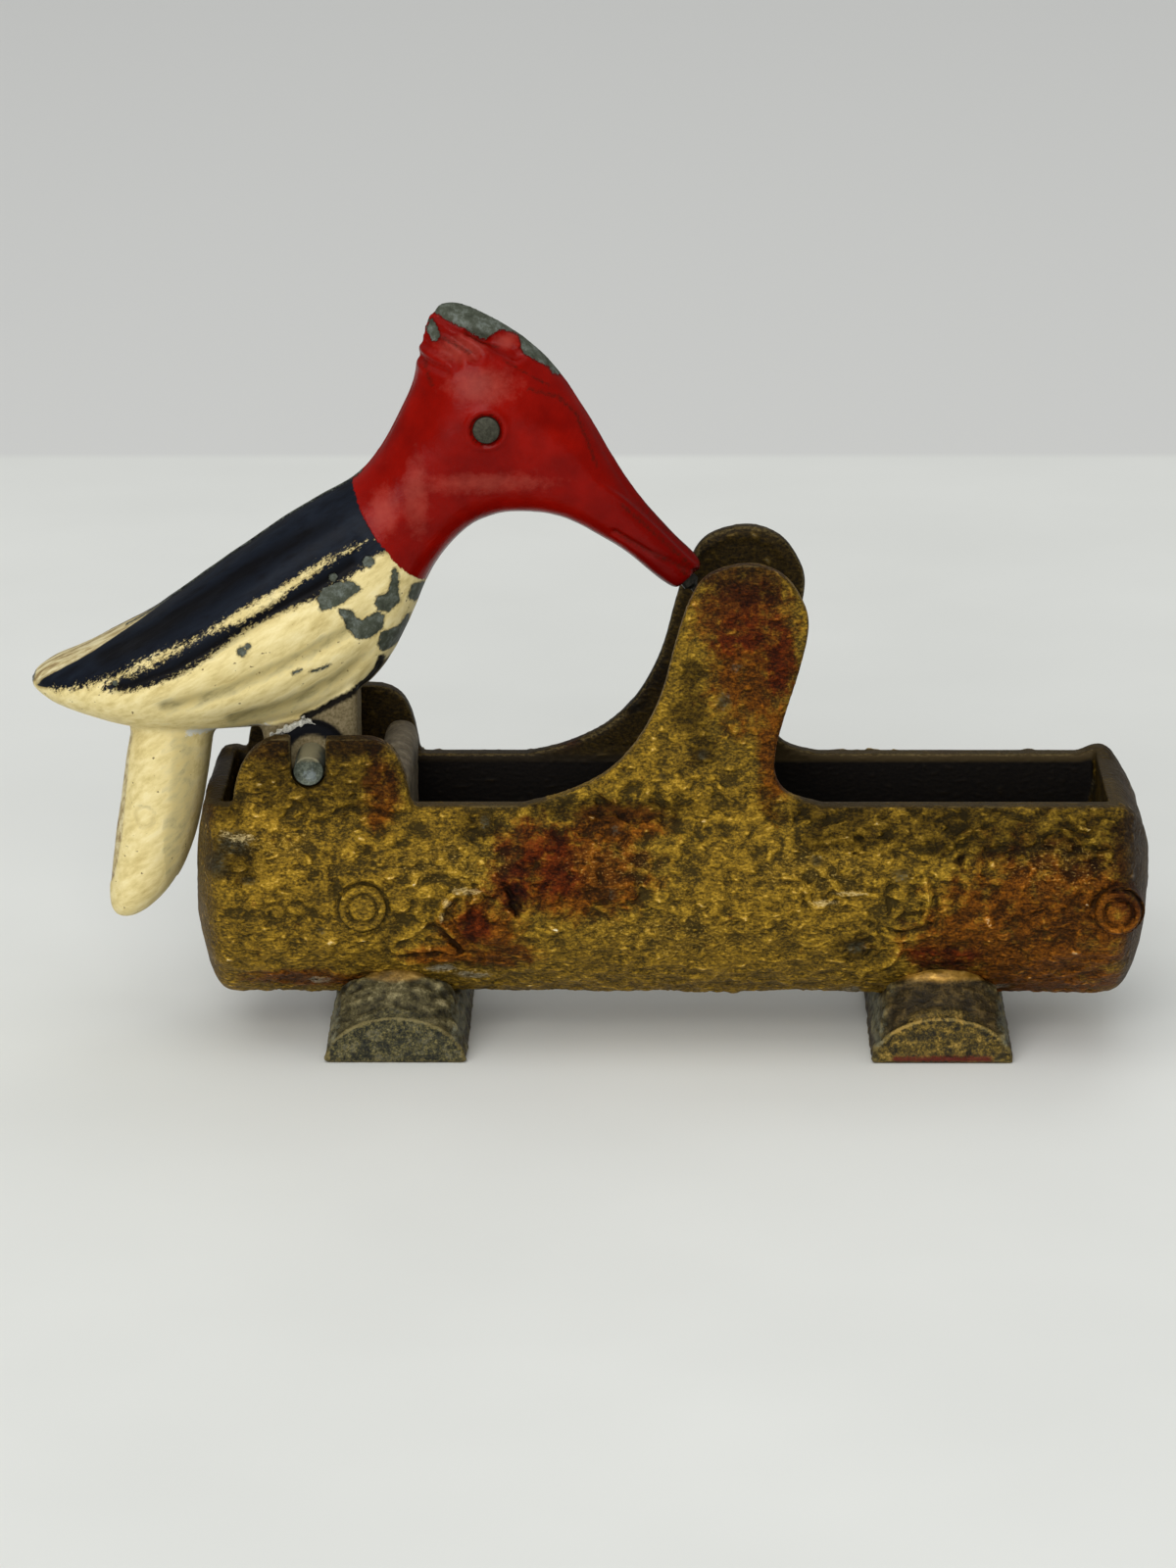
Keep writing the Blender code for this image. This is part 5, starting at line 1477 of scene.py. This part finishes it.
def build_pin():
    """The pin: a round rod with softly peened ends."""
    pin = rod("pin_rod", PIN_RADIUS, PIN_LENGTH, Vector(PIN) * MM)
    for side in (-1, 1):
        edit_faces(pin, [face.normal.y * side > 0.9 for face in pin.data.polygons])
        for thickness, depth in PEEN_STEPS:
            bpy.ops.mesh.inset(thickness=thickness * MM, depth=depth * MM)
        bpy.ops.object.mode_set(mode="OBJECT")
    shape(pin, "BEVEL", width=0.12 * MM, segments=3, limit_method="ANGLE", angle_limit=math.radians(40.0))
    smooth_by_angle(pin)
    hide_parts("pivot_pin")
    return pin


def build_eye(name, node_name, side):
    """An eye: a flat stud with a soft edge."""
    low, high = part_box(node_name)
    middle = (low + high) / 2
    outer = side * max(abs(low.y), abs(high.y))
    at = (middle.x, outer - side * STUD_HEIGHT / 2 * MM, middle.z)
    stud = rod(name, STUD_RADIUS, STUD_HEIGHT, at, 40)
    shape(stud, "BEVEL", width=0.16 * MM, segments=3, limit_method="ANGLE")
    smooth_by_angle(stud)
    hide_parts(node_name)
    return stud


def build_pieces():
    """Build and coat every piece."""
    coat(build_log(), bronze_lacquer(), "log")

    partition = cast_copy("cross_partition", "well_partition", 0.3, 3)
    push(partition, 0.09 * cloudy(points(partition), 1.2, 8.1))
    partition.data.shade_smooth()
    coat(partition, dusty_casting(), "log")

    foot_finish = foot_lacquer()
    for name, node_name, middle_x, rust in (
        ("foot_saddle_left", "foot_left", FOOT_CENTRES_X[0], 0.0),
        ("foot_saddle_right", "foot_right", FOOT_CENTRES_X[1], 1.0),
    ):
        coat(build_foot(name, node_name, middle_x, rust), foot_finish, "log")

    bird = build_bird()
    coat(bird, bird_enamel(), "bird")
    coat(build_residue(), chalky_residue(), "bird")
    coat(build_pin(), aged_pin(), "bird")
    stud_metal = dull_steel("stud_metal", "#24231b", "#454439", 0.5)
    for name, node_name, side in (("eye_stud_near", "eye_near", -1), ("eye_stud_far", "eye_far", 1)):
        coat(build_eye(name, node_name, side), stud_metal, "bird")
    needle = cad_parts["beak_needle"]
    needle.data.materials.clear()
    needle.data.materials.append(dull_steel("needle_steel", "#15140f", "#34322b", 0.42))


# Floor, light and camera, in metres

FLOOR_SIZE = 6.0
# Where the pale floor ends and the greyer ground starts, along y
FLOOR_END = (0.282, 0.286)
# Round lamps: name, place, point aimed at, size, watts
LAMPS = (
    ("lamp_above", (-0.4, -0.8, 2.3), (0.0, 0.0, 0.02), 2.8, 16.0),
    ("lamp_front", (-0.4, -2.0, 0.9), (0.0, 0.0, 0.03), 1.8, 38.0),
    ("lamp_behind", (0.5, 1.5, 1.8), (0.0, 0.0, 0.03), 1.2, 4.0),
)
# Strength of the world's light on the scene; the camera sees it at full strength
WORLD_STRENGTH = 0.62
# The camera's place in millimetres, its pan, its tilt down and its roll in radians, its lens
CAMERA_PLACE = (9.590784, -571.591084, 191.0025)
CAMERA_PAN = 0.0171135
CAMERA_TILT = 0.2793055
CAMERA_ROLL = -0.0042417
LENS = 126.0


def build_floor():
    """A pale floor with a greyer ground behind it."""
    bpy.ops.mesh.primitive_grid_add(
        x_subdivisions=4, y_subdivisions=4, size=FLOOR_SIZE, location=(0.0, 0.0, 0.0)
    )
    floor = named("pale_floor")
    made, tree, shader, place = material("pale_floor_paint")
    axes = node(tree, "SeparateXYZ", {"Vector": place})
    tone = span(tree, axes.outputs["Y"], *FLOOR_END)
    soft = speckle(tree, place, 60.0, 3.0, 0.5)
    near = ramp(tree, soft, [(0.3, "#e1e2dd"), (0.7, "#e7e8e3")])
    colour = blend(tree, tone, near, "#d9d9d6")
    tree.links.new(colour, shader.inputs["Base Color"])
    shader.inputs["Roughness"].default_value = 0.6
    floor.data.materials.append(made)


def light_room():
    """A world bright overhead and dim toward the horizon, a plain grey wall to the camera; soft lamps."""
    world = bpy.data.worlds.new("pale_room")
    bpy.context.scene.world = world
    world.use_nodes = True
    tree = world.node_tree
    ground = tree.nodes["Background"]
    direction = node(tree, "TexCoord").outputs["Generated"]
    height = node(tree, "SeparateXYZ", {"Vector": direction}).outputs["Z"]
    glow = ramp(tree, height, [(0.0, "#8d8b86"), (0.35, "#b4b4b1"), (0.7, "#e4e7e9"), (1.0, "#f4f6f8")])
    seen = node(tree, "LightPath").outputs["Is Camera Ray"]
    tree.links.new(blend(tree, seen, glow, "#c8c8c6"), ground.inputs["Color"])
    tree.links.new(span(tree, seen, 0.0, 1.0, WORLD_STRENGTH, 1.0), ground.inputs["Strength"])
    for name, place, aim, size, power in LAMPS:
        lamp = bpy.data.lights.new(name, "AREA")
        lamp.shape = "DISK"
        lamp.size = size
        lamp.energy = power
        thing = bpy.data.objects.new(name, lamp)
        COLLECTION.objects.link(thing)
        thing.location = place
        thing.rotation_mode = "QUATERNION"
        thing.rotation_quaternion = (Vector(aim) - Vector(place)).to_track_quat("-Z", "Y")


def set_camera():
    """The camera where the photograph was taken from."""
    view = bpy.data.cameras.new("photo_view")
    view.sensor_fit = "AUTO"
    view.sensor_width = 36.0
    view.lens = LENS
    view.clip_start = 0.05
    view.clip_end = 10.0
    camera = bpy.data.objects.new("photo_view", view)
    COLLECTION.objects.link(camera)
    turn = Matrix.Rotation(CAMERA_PAN, 4, "Z") @ Matrix.Rotation(math.pi / 2 - CAMERA_TILT, 4, "X")
    place = Matrix.Translation(Vector(CAMERA_PLACE) * MM)
    camera.matrix_world = place @ turn @ Matrix.Rotation(CAMERA_ROLL, 4, "Z")
    bpy.context.scene.camera = camera
    bpy.context.scene.view_settings.view_transform = "Standard"


build_pieces()
build_floor()
light_room()
set_camera()
